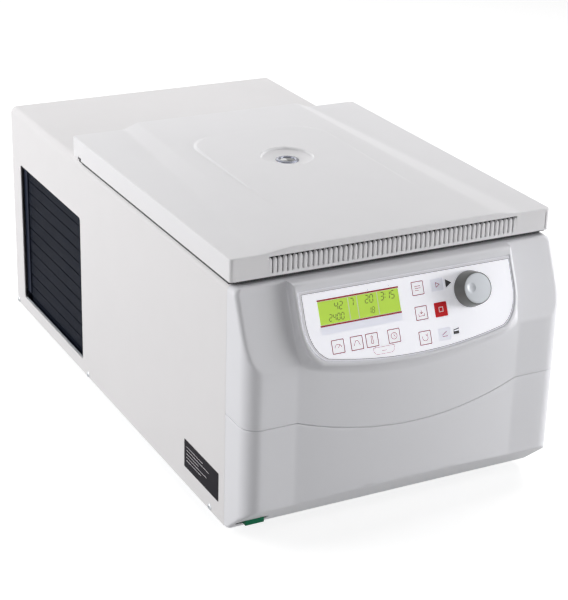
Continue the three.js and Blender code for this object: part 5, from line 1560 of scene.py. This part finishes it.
@dataclass(frozen=True)
class Lid:
    """The lid: shell, ribs, view port, liner and strikers."""

    shape: LidShape = LidShape()
    wall: float = 3.0
    inner_corner: float = 1.5
    boss: float = 4.2
    port_depth: float = 420.0
    port_hole: float = 8.9
    band_half: float = (51 * 5.75 + 3.5) / 2
    band_low: float = 293.5
    band_high: float = 311.5
    rib_count: int = 52
    rib_pitch: float = 5.75
    rib_width: float = 3.9
    rib_shoulder: float = 10.5
    # Heights of the dark strip under the lid's edge, painted shade in the gap between lid and housing.
    gap_shade_low: float = 286.7
    gap_shade_high: float = 290.3
    hinge_x: float = 150.0
    hinge_half: float = 20.9

    def build(self) -> list[bpy.types.Object]:
        """Builds everything that swings with the lid."""
        made = [self.shell(), *self.ribs(), self.gap_shade(), *self.port(), refined("lid_liner", STAINLESS_SHEET, 0.8, 3)]
        return made + [refined(f"lid_striker_{hand}", BRIGHT_STEEL) for hand in ("left", "right")]

    def grid(self, wall: float) -> list[list[Point]]:
        """Points of the upper surface, inside its rounded edge.

        Args:
            wall: How far the surface is drawn in.

        Returns:
            The points, row by row from the rear.
        """
        shape = self.shape
        edge = 0.0 if wall else shape.edge
        limit = shape.half - wall - edge
        corner = self.inner_corner if wall else shape.corner - edge
        tips = [limit - corner * (1 - math.sin(math.radians(t))) for t in (0, 30, 60, 90)]
        flat = spread((
            (0.0, 0.0), (28.0, 2.0), (78.0, 5.0), (93.0, 1.0), (103.0, 2.5), (126.0, 1.6), (156.0, 2.0),
            (tips[0], 6.0),
        ))  # fmt: skip
        half = flat + tips[1:]
        marks = (
            (0.0, 0.0), (0.1, 0.012), (0.18, 0.012), (0.22, 0.0035), (0.3, 0.008), (0.36, 0.01), (0.5, 0.006),
            (0.99, 0.012), (1.0, 0.005),
        )  # fmt: skip
        rows = []
        for share in spread(marks):
            line = []
            for x in [-x for x in reversed(half[1:])] + half:
                over = max(0.0, abs(x) - (limit - corner))
                cut_in = corner - math.sqrt(max(0.0, corner**2 - over**2))
                rear = shape.rear + wall + edge + cut_in
                fore = shape.front_depth(x) - wall - edge - cut_in
                depth = rear + (fore - rear) * share
                away = math.hypot(x, depth - self.port_depth)
                boss = self.boss * (1 - smooth_step(34.0, 40.0, away)) if wall else 0.0
                line.append((x, at(depth), shape.height(x, depth) - wall - boss))
            rows.append(line)
        return rows

    def shell(self) -> bpy.types.Object:
        """Builds the moulded shell, then cuts its dish, rib band, port hole and hinge notches.

        Returns:
            The finished piece.
        """
        low, edge = self.shape.low, self.shape.edge
        form = Form()
        edges = []
        for wall in (0.0, self.wall):
            rows = self.grid(wall)
            form.loft(rows, round_loops=False)
            sides = [line[-1] for line in rows[:-1]], [line[0] for line in rows[:0:-1]]
            edges.append(rows[0][:-1] + sides[0] + rows[-1][:0:-1] + sides[1])
        outer, inner = edges
        skirt = [(edge * math.sin(math.radians(t)), edge * (1 - math.cos(math.radians(t)))) for t in SKIRT_TURNS]
        outward = self.outward(outer)
        loops = [
            [(x + nx * out, y + ny * out, z - fall) for (x, y, z), (nx, ny) in zip(outer, outward)]
            for out, fall in skirt
        ]
        loops += [
            [(x + nx * out, y + ny * out, z) for (x, y, _), (nx, ny) in zip(outer, outward)]
            for out, z in ((edge, low + 0.5), (edge - 0.15, low + 0.12), (edge - 0.5, low))
        ]
        foot = [(x, y, low) for x, y, _ in inner]
        form.loft(loops)
        form.loft([loops[-1], foot])
        form.loft([inner, foot])
        shell = carved(form.object("lid_moulding"), self.cutter())
        return dress(shell, "lid", LID_MOULDING, replaces=("lid_shell",), slot="lid_moulding", sharp=14.0)

    @staticmethod
    def outward(loop: Sequence[Point]) -> list[Flat]:
        """Direction square to a closed loop in plan, outward, at each of its points.

        Args:
            loop: The loop's points.

        Returns:
            A direction for each point.
        """
        found = []
        for i, (x, y, _) in enumerate(loop):
            (ax, ay, _), (bx, by, _) = loop[i - 1], loop[(i + 1) % len(loop)]
            length = math.hypot(bx - ax, by - ay) or 1.0
            nx, ny = (by - ay) / length, -(bx - ax) / length
            sign = 1.0 if x * nx + (y - at(450.0)) * ny > 0 else -1.0
            found.append((nx * sign, ny * sign))
        return found

    def cutter(self) -> bpy.types.Object:
        """Builds the shapes that are cut out of the shell, as one object.

        Returns:
            The object to cut with.
        """
        form, y = Form(), at(self.port_depth)
        form.box((-self.band_half, at(674.0), self.band_low), (self.band_half, at(664.5), self.band_high))
        top = self.shape.height(0.0, self.port_depth)
        foot, floor = self.shape.dish - 2.6, self.shape.dish_floor
        bowl = [(foot * i / 10, floor + (top - 2.3 - floor) * (i / 10) ** 2.4) for i in range(11)]
        lip = [(0.7, 1.9), (1.15, 1.25), (1.5, 0.6), (1.95, 0.15), (2.6, -0.05), (3.4, -0.1)]
        rim = [(foot + out, top - under) for out, under in lip]
        form.lathe([*bowl, *rim, (foot + 3.4, top + 5.0), (0.0, top + 5.0)], 96, upright, 0.0, y)
        form.box((185.5, at(672.0), 291.8), (186.8, at(666.4), 311.0))
        hole = self.port_hole
        form.lathe([(0.0, 270.0), (hole, 270.0), (hole, 317.0), (0.0, 317.0)], 48, upright, 0.0, y)
        for hand in (-1, 1):
            x, half = hand * self.hinge_x, self.hinge_half
            form.box((x - half, at(236.4), 286.0), (x + half, at(229.0), 307.6))
            near, far = sorted((hand * 187.0, hand * 194.0))
            form.box((near, at(259.0), 286.0), (far, at(249.0), 293.6))
        return form.object("lid_cutter")

    def ribs(self) -> list[bpy.types.Object]:
        """Builds the ribs of the front band, each with a rounded top over a dark slot.

        Returns:
            The band's floor, black as painted shade in the slots between the ribs, and its ribs.
        """
        shape, low, high = self.shape, self.band_low, self.band_high
        loops = []
        for x in spread(((-self.band_half + 0.05, 0.0), (self.band_half - 0.05, 12.0))):
            back, fore = at(664.4), at(shape.front_depth(x) - 3.4)
            loops.append([(x, back, low - 0.3), (x, fore, low - 0.3), (x, fore, high + 0.3), (x, back, high + 0.3)])
        # The black floor is painted shade in the slots between the ribs.
        made = [Form().loft(loops, caps=True).piece("rib_band_floor", "lid", BLACK_PLASTIC, sharp=30.0)]
        side, shoulder, top = self.rib_width / 2, low + self.rib_shoulder, high - 1.7
        outline: list[Flat] = [(-side, low - 0.2), (side, low - 0.2)]
        bends = (0.0, 0.2, 0.4, 0.6, 0.8)
        outline += [(side * (1 - t * t), shoulder + (top - shoulder) * (2 * t - t * t)) for t in bends]
        outline.append((0.0, top))
        outline += [(-px, z) for px, z in reversed(outline[2:-1])]
        form = Form()
        for i in range(self.rib_count):
            x = (i - (self.rib_count - 1) / 2) * self.rib_pitch
            fore = shape.front_depth(x) - 0.05
            form.loft([
                [(x + px * (1 - k), at(fore - under), z - (z - low) * k * 0.12) for px, z in outline]
                for under, k in ((3.7, 0.0), (0.35, 0.0), (0.08, 0.09), (0.0, 0.24))
            ], caps=True)  # fmt: skip
        return [*made, form.piece("lid_ribs", "lid", LID_MOULDING, sharp=40.0)]

    def gap_shade(self) -> bpy.types.Object:
        """Builds a dark strip round the lid's underside: painted shade in the gap between the lid and the housing."""
        form, low, high = Form(), self.gap_shade_low, self.gap_shade_high
        form.box((-181.0, at(666.4), low), (181.0, at(657.0), high))
        for hand in (-1, 1):
            near, far = sorted((hand * 183.2, hand * 189.8))
            form.box((near, at(663.0), low), (far, at(259.5), high))
            form.box((near, at(258.6), low + 0.6), (far, at(249.4), 293.2))
        return form.piece("lid_edge_seal", "lid", SEAL, bevel=0.4)

    def port(self) -> list[bpy.types.Object]:
        """Turns the view port: its bright ring and the dark glass in it."""
        base, y = self.shape.dish_floor, at(self.port_depth)
        ring = [
            (8.4, base - 2.0), (8.4, base + 0.9), (8.7, base + 1.35), (9.4, base + 1.6), (10.6, base + 1.7),
            (12.0, base + 1.6), (13.0, base + 1.25), (13.5, base + 0.5), (13.5, base - 0.4), (13.3, base - 0.8),
            (8.4, base - 2.0),
        ]  # fmt: skip
        rim = Form().lathe(ring, 72, upright, 0.0, y)
        made = rim.piece("view_port_ring", "lid", CHROME, replaces=("lid_view_port",), sharp=60.0)
        pane = [(0.0, 287.4), (8.2, 287.4), (8.3, 287.8), (8.3, base + 0.7), (7.6, base + 0.95), (0.0, base + 1.25)]
        glass = Form().lathe(pane, 48, upright, 0.0, y)
        return [made, glass.piece("view_port_glass", "lid", DARK_GLASS, slot="dark_window")]


@dataclass(frozen=True)
class Housing:
    """The sheet-metal housing: cover, base tray, rear panel, feet, screws and rating plate."""

    foot: tuple[Flat, ...] = (
        (0.0, 1.6), (4.0, 1.6), (5.0, 0.6), (6.2, 0.0), (10.8, 0.0), (11.8, 0.5), (12.3, 1.4), (14.6, 8.6),
        (14.9, 9.3), (14.6, 9.7), (0.0, 9.7),
    )  # fmt: skip
    screw: tuple[Flat, ...] = (
        (0.0, -1.0), (3.6, -1.0), (3.9, -0.2), (3.6, 0.7), (2.9, 1.3), (1.9, 1.6), (1.45, 1.62), (1.3, 1.3),
        (1.2, 0.4), (0.0, 0.4),
    )  # fmt: skip
    screw_places: tuple[Flat, ...] = ((5.0, 14.0), (266.0, 14.0), (625.0, 14.4))
    bend_centre: Flat = (182.0, 278.0)
    bend_radius: float = 6.1
    rule_start: float = 564.0
    rule_ends: tuple[float, ...] = (606.0, 622.0, 596.0, 616.0, 602.0)

    def build(self) -> list[bpy.types.Object]:
        """Dresses the sheet metal and adds what is fastened to it."""
        made = [refined("housing_cover", WHITE_COAT, 0.35, 2, 30.0), refined("base_tray", ZINC, 0.25)]
        made += [refined("rear_panel", WHITE_COAT, 0.2), self.corners(), *self.screws(), self.plate()]
        return made + [self.rubber(f"foot_{fore}_{hand}") for fore in ("front", "rear") for hand in ("left", "right")]

    def corners(self) -> bpy.types.Object:
        """Closes the rear panel's cut corners under the cover's bends."""
        form = Form()
        bend = arc(self.bend_centre, self.bend_radius, 0.0, 90.0, 8)
        outline = [(180.3, 276.3), (188.1, 276.3), *bend, (180.3, 284.1)]
        for hand in (-1, 1):
            form.plate([(hand * x, z) for x, z in outline], 356.8, 358.5, lambda a, b, h: (a, h, b))
        return form.piece("rear_panel_corners", "housing", WHITE_COAT)

    def rubber(self, node: str) -> bpy.types.Object:
        """Turns one rubber foot with a dished underside.

        Args:
            node: The foot's CAD node.

        Returns:
            The finished piece.
        """
        low, high = (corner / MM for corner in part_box(node))
        form = Form().lathe(self.foot, 56, upright, (low[0] + high[0]) / 2, (low[1] + high[1]) / 2)
        return form.piece(f"{node}_rubber", "housing", RUBBER, replaces=(node,), slot="foot_rubber")

    def screws(self) -> list[bpy.types.Object]:
        """Adds dome screws, each on a light ring, along both sides."""
        made = []
        for side, hand in (("left", -1), ("right", 1)):
            screw = Form().lathe(self.screw, 28, lambda a, b, h: (hand * h, a, b), 0.0, 0.0).object("screw_template")
            points = [(hand * HALF_WIDTH, at(depth), z) for depth, z in self.screw_places]
            made.append(dress(placed(f"side_screws_{side}", screw, BRIGHT_STEEL, points), "housing", BRIGHT_STEEL))
        return made

    def plate(self) -> bpy.types.Object:
        """Adds the dark rating plate with plain rules in place of its text."""
        form = Form()

        def wall(depth: float, z: float, out: float) -> Point:
            """Point on or over the left wall."""
            return (-HALF_WIDTH - out, at(depth), z)

        form.plate(rounded_box(602.0, 48.0, 88.0, 34.0, 1.2), -0.05, 0.15, wall)
        for i, end in enumerate(self.rule_ends):
            start, up = self.rule_start, 57.0 - 4.2 * i
            form.plate([(start, up), (end, up), (end, up + 0.45), (start, up + 0.45)], 0.1, 0.2, wall, slot=1)
        return form.piece("rating_plate", "housing", LABEL, WHITE_INK)


@dataclass(frozen=True)
class CoolingSet:
    """The condenser, its fan and shroud, the compressor and the discharge pipe."""

    rows: int = 12
    row_pitch: float = 16.5
    fin_pitch: float = 2.3
    fin_deep: float = 10.0
    fin_half: float = 0.35
    tube: float = 1.1

    def build(self) -> list[bpy.types.Object]:
        """Builds the cooling parts."""
        made = [*self.condenser(), refined("fan_shroud", DARK_PLASTIC), refined("condenser_fan", BLACK_PLASTIC)]
        return [*made, refined("compressor", ENAMEL, 1.2, 3), refined("discharge_pipe", COPPER, 0.0, 1, 50.0)]

    def condenser(self) -> list[bpy.types.Object]:
        """Builds the condenser: end plates, staggered fins and tube rows.

        Returns:
            Its core, fins and tubes.
        """
        (x0, y0, z0), (x1, y1, z1) = (tuple(corner / MM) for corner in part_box("condenser"))
        form = Form()
        form.box((x0 + 7.0, y0, z0), (x1, y0 + 2.0, z1), 0)
        form.box((x0 + 1.0, y1 - 15.0, z0 + 24.0), (x0 + 3.0, y1, z1), 1)
        form.box((x0 + 2.0, y1 - 2.0, z0), (x1, y1, z1), 0)
        form.box((x0 + 3.0, y0, z1 - 2.0), (x1, y1, z1), 0)
        form.box((x0 + 3.0, y0, z0), (x1, y1, z0 + 2.0), 0)
        # The black inner box is painted shade, seen in the gaps between the fins.
        form.box((x0 + 12.0, y0 + 1.0, z0 + 1.0), (x1 - 1.0, y1 - 1.0, z1 - 1.0), 2)
        core = form.piece(
            "condenser_core", "housing", NAVY, NAVY, BLACK_PLASTIC, replaces=("condenser",), slot="navy_fins", bevel=0.3
        )
        pitch = self.row_pitch
        fin = Form().box((0.0, -self.fin_half, 0.0), (self.fin_deep, self.fin_half, pitch - 1.5)).object("fin_template")
        fins = rows_of(
            "condenser_fins", fin, NAVY, int((y1 - y0 - 17.0) / self.fin_pitch), (x0 + 2.6, y0 + 2.6, z0 + 4.0),
            (0.0, self.fin_pitch, 0.0), self.rows, (0.0, 0.0, pitch), (0.0, self.fin_pitch / 2, 0.0),
        )  # fmt: skip
        dress(fins, "housing", NAVY)
        # The tubes take a darker navy: painted shade in the dark lines between the fin rows.
        tubes = Form()
        for row in range(self.rows + 1):
            z = z0 + 3.2 + row * pitch
            round_tube = circle(0, 0, self.tube, 10)
            tubes.loft(
                [[(x0 + 6.0 + a, y, min(z1 - 0.5, z + b)) for a, b in round_tube] for y in (y0 + 1, y1 - 3)], caps=True
            )
        return [core, fins, tubes.piece("condenser_tubes", "housing", NAVY_SHADE)]


@dataclass(frozen=True)
class Inside:
    """Everything under the lid and behind the panels."""

    gasket: tuple[Flat, ...] = (
        (143.2, 288.4), (151.1, 288.4), (151.1, 289.8), (150.6, 291.0), (149.7, 291.9), (148.8, 292.3), (148.0, 291.9),
        (147.4, 291.1), (146.9, 291.1), (146.3, 291.9), (145.5, 292.3), (144.6, 291.8), (143.7, 290.8), (143.2, 289.7),
        (143.2, 288.4),
    )  # fmt: skip
    can_foot: tuple[Flat, ...] = (
        (0.0, 32.1), (61.3, 32.1), (62.0, 32.8), (62.0, 37.4), (61.3, 38.1), (56.0, 38.1), (55.0, 39.0),
    )  # fmt: skip
    can_rings: tuple[float, ...] = (52.0, 66.0, 80.0)
    can_head: tuple[Flat, ...] = (
        (55.0, 104.8), (54.4, 106.6), (50.2, 111.2), (48.8, 112.0), (20.0, 112.0), (19.0, 111.2), (9.3, 111.2),
        (8.3, 110.4), (8.3, 99.7), (0.0, 99.7),
    )  # fmt: skip
    shaft: tuple[Flat, ...] = (
        (0.0, 100.0), (8.0, 100.0), (8.0, 157.2), (7.95, 157.5), (6.0, 179.5), (6.0, 191.2), (5.2, 192.0),
        (2.0, 192.0), (0.0, 190.6),
    )  # fmt: skip
    disc: tuple[Flat, ...] = (
        (0.0, 214.4), (15.8, 214.4), (16.5, 215.1), (16.5, 226.3), (84.8, 226.3), (85.8, 226.9), (86.0, 228.4),
        (85.7, 229.7), (80.2, 232.9), (78.6, 233.3), (73.0, 233.3), (72.2, 232.9), (71.6, 232.4), (34.0, 232.4),
        (33.3, 232.7), (32.4, 233.3), (18.0, 233.3), (17.0, 234.0), (0.0, 234.0),
    )  # fmt: skip
    grip: tuple[Point, ...] = (
        (233.8, 15.8, 0.0), (236.0, 15.6, 0.1), (237.4, 15.8, 0.9), (245.4, 15.8, 0.9), (247.4, 15.1, 0.5),
        (249.0, 14.0, 0.1), (250.0, 12.4, 0.0), (250.3, 10.6, 0.0),
    )  # fmt: skip
    flutes: int = 18
    tube: float = 4.0
    tube_turns: int = 4
    spring_wire: float = 0.8
    spring_turns: int = 5

    def build(self) -> list[bpy.types.Object]:
        """Dresses the inner parts."""
        made = [*self.chamber(), refined("chamber_insulation", FOAM, 0.8), self.evaporator(), *self.drive()]
        made += [refined(f"motor_mount_{number}", RUBBER, 0.5) for number in (1, 2, 3)]
        made += [refined("rotor", ANODISED, 0.6), *self.rotor_lid(), refined("lid_lock_body", DARK_PLASTIC, 0.4)]
        made += [refined("lid_lock_bar", BRIGHT_STEEL, 0.2), refined("emergency_release_tab", GREEN_PLASTIC, 0.7, 3)]
        for hand in ("left", "right"):
            made += [refined(f"hinge_{part}_{hand}", BRIGHT_STEEL) for part in ("arm", "bracket", "pin")]
            made.append(self.spring(hand))
        made += [refined(node, BLACK_PLASTIC, 0.4) for node in ("mains_inlet", "mains_switch")]
        return made + [refined("switch_rocker", DARK_PLASTIC, 0.5), refined("power_board", CIRCUIT, 0.2)]

    @staticmethod
    def turned(
        name: str, node: str, body: str, finish: Finish, profile: Sequence[Flat], sharp: float = 30.0
    ) -> bpy.types.Object:
        """Turns a piece about the rotor's axis in place of a CAD node.

        Args:
            name: The piece's name.
            node: The CAD node that it stands for.
            body: The CAD body that it rides on.
            finish: Its finish.
            profile: Radius and height of its closed outline's points in millimetres.
            sharp: Least angle between faces, in degrees, that shows as an edge.

        Returns:
            The finished piece.
        """
        form = Form().lathe(profile, 112, upright, *CHAMBER)
        return form.piece(name, body, finish, replaces=(node,), slot=record_slot(node), sharp=sharp)

    def chamber(self) -> list[bpy.types.Object]:
        """Turns the bowl with its rolled rim, and the gasket with its two lips."""
        inner = arc((122.0, 154.0), 18.0, 0.0, -90.0, 10)
        outer = arc((122.0, 154.0), 19.7, -90.0, 0.0, 10)
        rim = arc((144.0, 284.0), 4.0, 180.0, 90.0, 6)
        under = arc((144.0, 284.1), 2.3, 90.0, 180.0, 6)
        bowl = [(15.0, 134.3), *outer, *reversed(under), (154.6, 286.4), (155.1, 287.2), (154.6, 288.0)]
        bowl += [*reversed(rim), *inner, (15.0, 136.0), (15.0, 134.3)]
        return [
            self.turned("bowl", "chamber_bowl", "housing", STAINLESS, bowl),
            self.turned("gasket_ring", "chamber_gasket", "housing", SEAL, self.gasket, 60.0),
        ]

    def drive(self) -> list[bpy.types.Object]:
        """Turns the motor with its flange and rings, and the tapered shaft."""
        groove = ((55.0, -1.6), (54.2, -1.0), (54.2, 1.0), (55.0, 1.6))
        rings = [(radius, z + rise) for z in self.can_rings for radius, rise in groove]
        can = [*self.can_foot, *rings, *self.can_head]
        return [
            self.turned("motor_can", "drive_motor", "housing", ENAMEL, can),
            self.turned("tapered_shaft", "drive_shaft", "rotor_drive", BRIGHT_STEEL, self.shaft),
        ]

    def rotor_lid(self) -> list[bpy.types.Object]:
        """Turns the rotor's lid and lofts its fluted grip."""
        made = self.turned("rotor_lid_disc", "rotor_lid", "rotor_drive", ANODISED, self.disc)
        sides = 8 * self.flutes
        turns = [2 * math.pi * i / sides for i in range(sides)]
        x, y = CHAMBER
        loops = []
        for z, reach, depth in self.grip:
            radii = [reach + depth * math.cos(self.flutes * t) for t in turns]
            loops.append([(x + r * math.cos(t), y + r * math.sin(t), z) for r, t in zip(radii, turns)])
        grip = Form().loft(loops, caps=True)
        return [made, grip.piece("rotor_lid_grip", "rotor_drive", BLACK_PLASTIC, sharp=50.0)]

    def evaporator(self) -> bpy.types.Object:
        """Winds the evaporator's copper tube round the bowl."""
        low, high = (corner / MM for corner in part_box("evaporator_coil"))
        tube, centre = self.tube, (low + high) / 2
        reach, rise = (high.x - low.x) / 2 - tube, high.z - low.z - 2 * tube - 0.6
        made = coil("evaporator_tube", COPPER, self.tube_turns, reach, rise, tube, 72)
        turn = Matrix.Rotation(math.pi, 4, "X")
        made.data.transform(Matrix.Translation(Vector((centre.x, centre.y, high.z - tube - 0.3)) * MM) @ turn)
        return dress(made, "housing", COPPER, replaces=("evaporator_coil",), sharp=50.0)

    def spring(self, hand: str) -> bpy.types.Object:
        """Winds the torsion spring on one hinge pin.

        Args:
            hand: The side, left or right.

        Returns:
            The finished piece.
        """
        node, wire = f"hinge_spring_{hand}", self.spring_wire
        low, high = (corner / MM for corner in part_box(node))
        centre, run = (low + high) / 2, high.x - low.x - 2 * wire - 0.2
        made = coil(f"{node}_wire", BRIGHT_STEEL, self.spring_turns, (high.z - low.z) / 2 - wire, run, wire, 40)
        seat = Vector((low.x + wire + 0.1, centre.y, centre.z)) * MM
        made.data.transform(Matrix.Translation(seat) @ Matrix.Rotation(math.pi / 2, 4, "Y"))
        return dress(made, "housing", BRIGHT_STEEL, replaces=(node,), sharp=50.0)


@dataclass(frozen=True)
class Lamp:
    """A rectangular softbox, placed and sized in metres, with its power in watts."""

    name: str
    place: Point
    target: Point
    wide: float
    tall: float
    power: float

    def build(self) -> None:
        """Hangs the lamp and turns it to its target."""
        data = bpy.data.lights.new(self.name, "AREA")
        data.shape = "RECTANGLE"
        data.size, data.size_y, data.energy = self.wide, self.tall, self.power
        thing = shown(self.name, data)
        thing.location = self.place
        aim = Vector(self.target) - Vector(self.place)
        thing.rotation_euler = aim.to_track_quat("-Z", "Y").to_euler()
        thing.visible_camera = False


@dataclass(frozen=True)
class Studio:
    """Camera, floor and lights."""

    position: Point = (-0.860717, -1.692086, 0.930253)
    azimuth: float = math.radians(-27.79)
    elevation: float = math.radians(23.098)
    roll: float = math.radians(1.603)
    lens: float = 101.37
    sensor: float = 36.0
    reach: float = 100.0
    floor_half: float = 30.0
    floor_tone: Flat = (0.38, 0.45)
    floor_glow: Flat = (0.0, 0.75)
    backdrop: float = 1.05
    surround: float = 0.12
    lamps: tuple[Lamp, ...] = (
        Lamp("left_box", (-2.0, 0.7, 0.9), (-0.19, 0.13, 0.15), 1.2, 1.5, 38.5),
        Lamp("right_box", (2.3, -1.1, 0.5), (0.0, -0.35, 0.2), 1.0, 0.9, 29.0),
        Lamp("front_box", (2.1, -1.7, 0.5), (0.0, -0.35, 0.2), 1.0, 0.9, 17.5),
        Lamp("top_box", (1.3, 0.2, 1.8), (0.0, 0.0, 0.3), 1.2, 1.2, 22.0),
        Lamp("back_box", (0.4, 2.2, 1.3), (0.0, 0.2, 0.3), 1.4, 1.0, 7.0),
        Lamp("back_left_box", (-0.6, 2.4, 0.9), (0.0, 0.2, 0.3), 1.2, 0.8, 7.0),
        Lamp("right_panel", (1.1, -0.9, 0.4), (0.1, -0.35, 0.2), 0.5, 0.5, 0.9),
        Lamp("low_box", (-0.1, -2.3, 0.3), (0.0, -0.35, 0.15), 1.2, 0.4, 2.6),
        Lamp("left_panel", (-1.1, -1.3, 0.3), (-0.19, -0.36, 0.15), 0.5, 0.5, 2.3),
    )

    def build(self) -> None:
        """Sets the stage."""
        self.camera()
        self.floor()
        self.world()
        for lamp in self.lamps:
            lamp.build()
        bpy.context.scene.view_settings.view_transform = "Standard"

    def camera(self) -> None:
        """Adds the camera that matches the photograph."""
        data = bpy.data.cameras.new("camera")
        data.lens = self.lens
        data.sensor_width = self.sensor
        data.sensor_fit = "AUTO"
        data.clip_end = self.reach
        thing = shown("camera", data)
        a, e, r = self.azimuth, self.elevation, self.roll
        back = Vector((math.sin(a) * math.cos(e), -math.cos(a) * math.cos(e), math.sin(e)))
        level = Vector((0.0, 0.0, 1.0)).cross(back).normalized()
        over = back.cross(level)
        right, up = math.cos(r) * level + math.sin(r) * over, -math.sin(r) * level + math.cos(r) * over
        thing.matrix_world = Matrix.Translation(self.position) @ Matrix((right, up, back)).transposed().to_4x4()
        bpy.context.scene.camera = thing

    def floor(self) -> None:
        """Lays a white floor that keeps the shadow."""
        mesh = bpy.data.meshes.new("floor")
        size = self.floor_half
        mesh.from_pydata([(-size, -size, 0), (size, -size, 0), (size, size, 0), (-size, size, 0)], [], [(0, 1, 2, 3)])
        sheet = Shader("studio_floor")
        seen = sheet.seen()
        sheet.feed(
            sheet.skin, Base_Color=sheet.ranged(seen, *self.floor_tone), Roughness=0.6, Specular_IOR_Level=0.0,
            Emission_Color=WHITE, Emission_Strength=sheet.ranged(seen, *self.floor_glow),
        )  # fmt: skip
        mesh.materials.append(sheet.material)
        shown("floor", mesh)

    def world(self) -> None:
        """Sets a white surround where it is seen and a softer one for the lighting."""
        world = bpy.data.worlds.new("studio")
        world.use_nodes = True
        graph = Graph(world.node_tree)
        graph.tree.nodes.clear()
        soft = graph.node("ShaderNodeBackground", Color=WHITE, Strength=self.surround).outputs[0]
        white = graph.node("ShaderNodeBackground", Color=WHITE, Strength=self.backdrop).outputs[0]
        mix = graph.node("ShaderNodeMixShader", _0=graph.seen(), _1=soft, _2=white)
        graph.node("ShaderNodeOutputWorld", Surface=mix.outputs[0])
        bpy.context.scene.world = world


def main() -> None:
    """Builds the sub-assemblies in order and reports each piece."""
    logging.basicConfig(level=logging.INFO)
    for assembly in (Housing(), MouldedFront(), ControlPanel(), Lid(), CoolingSet(), Inside()):
        for piece in assembly.build():
            log.info("%s: %s, %d faces", type(assembly).__name__, piece.name, len(piece.data.polygons))
    Studio().build()


if __name__ == "__main__":
    main()
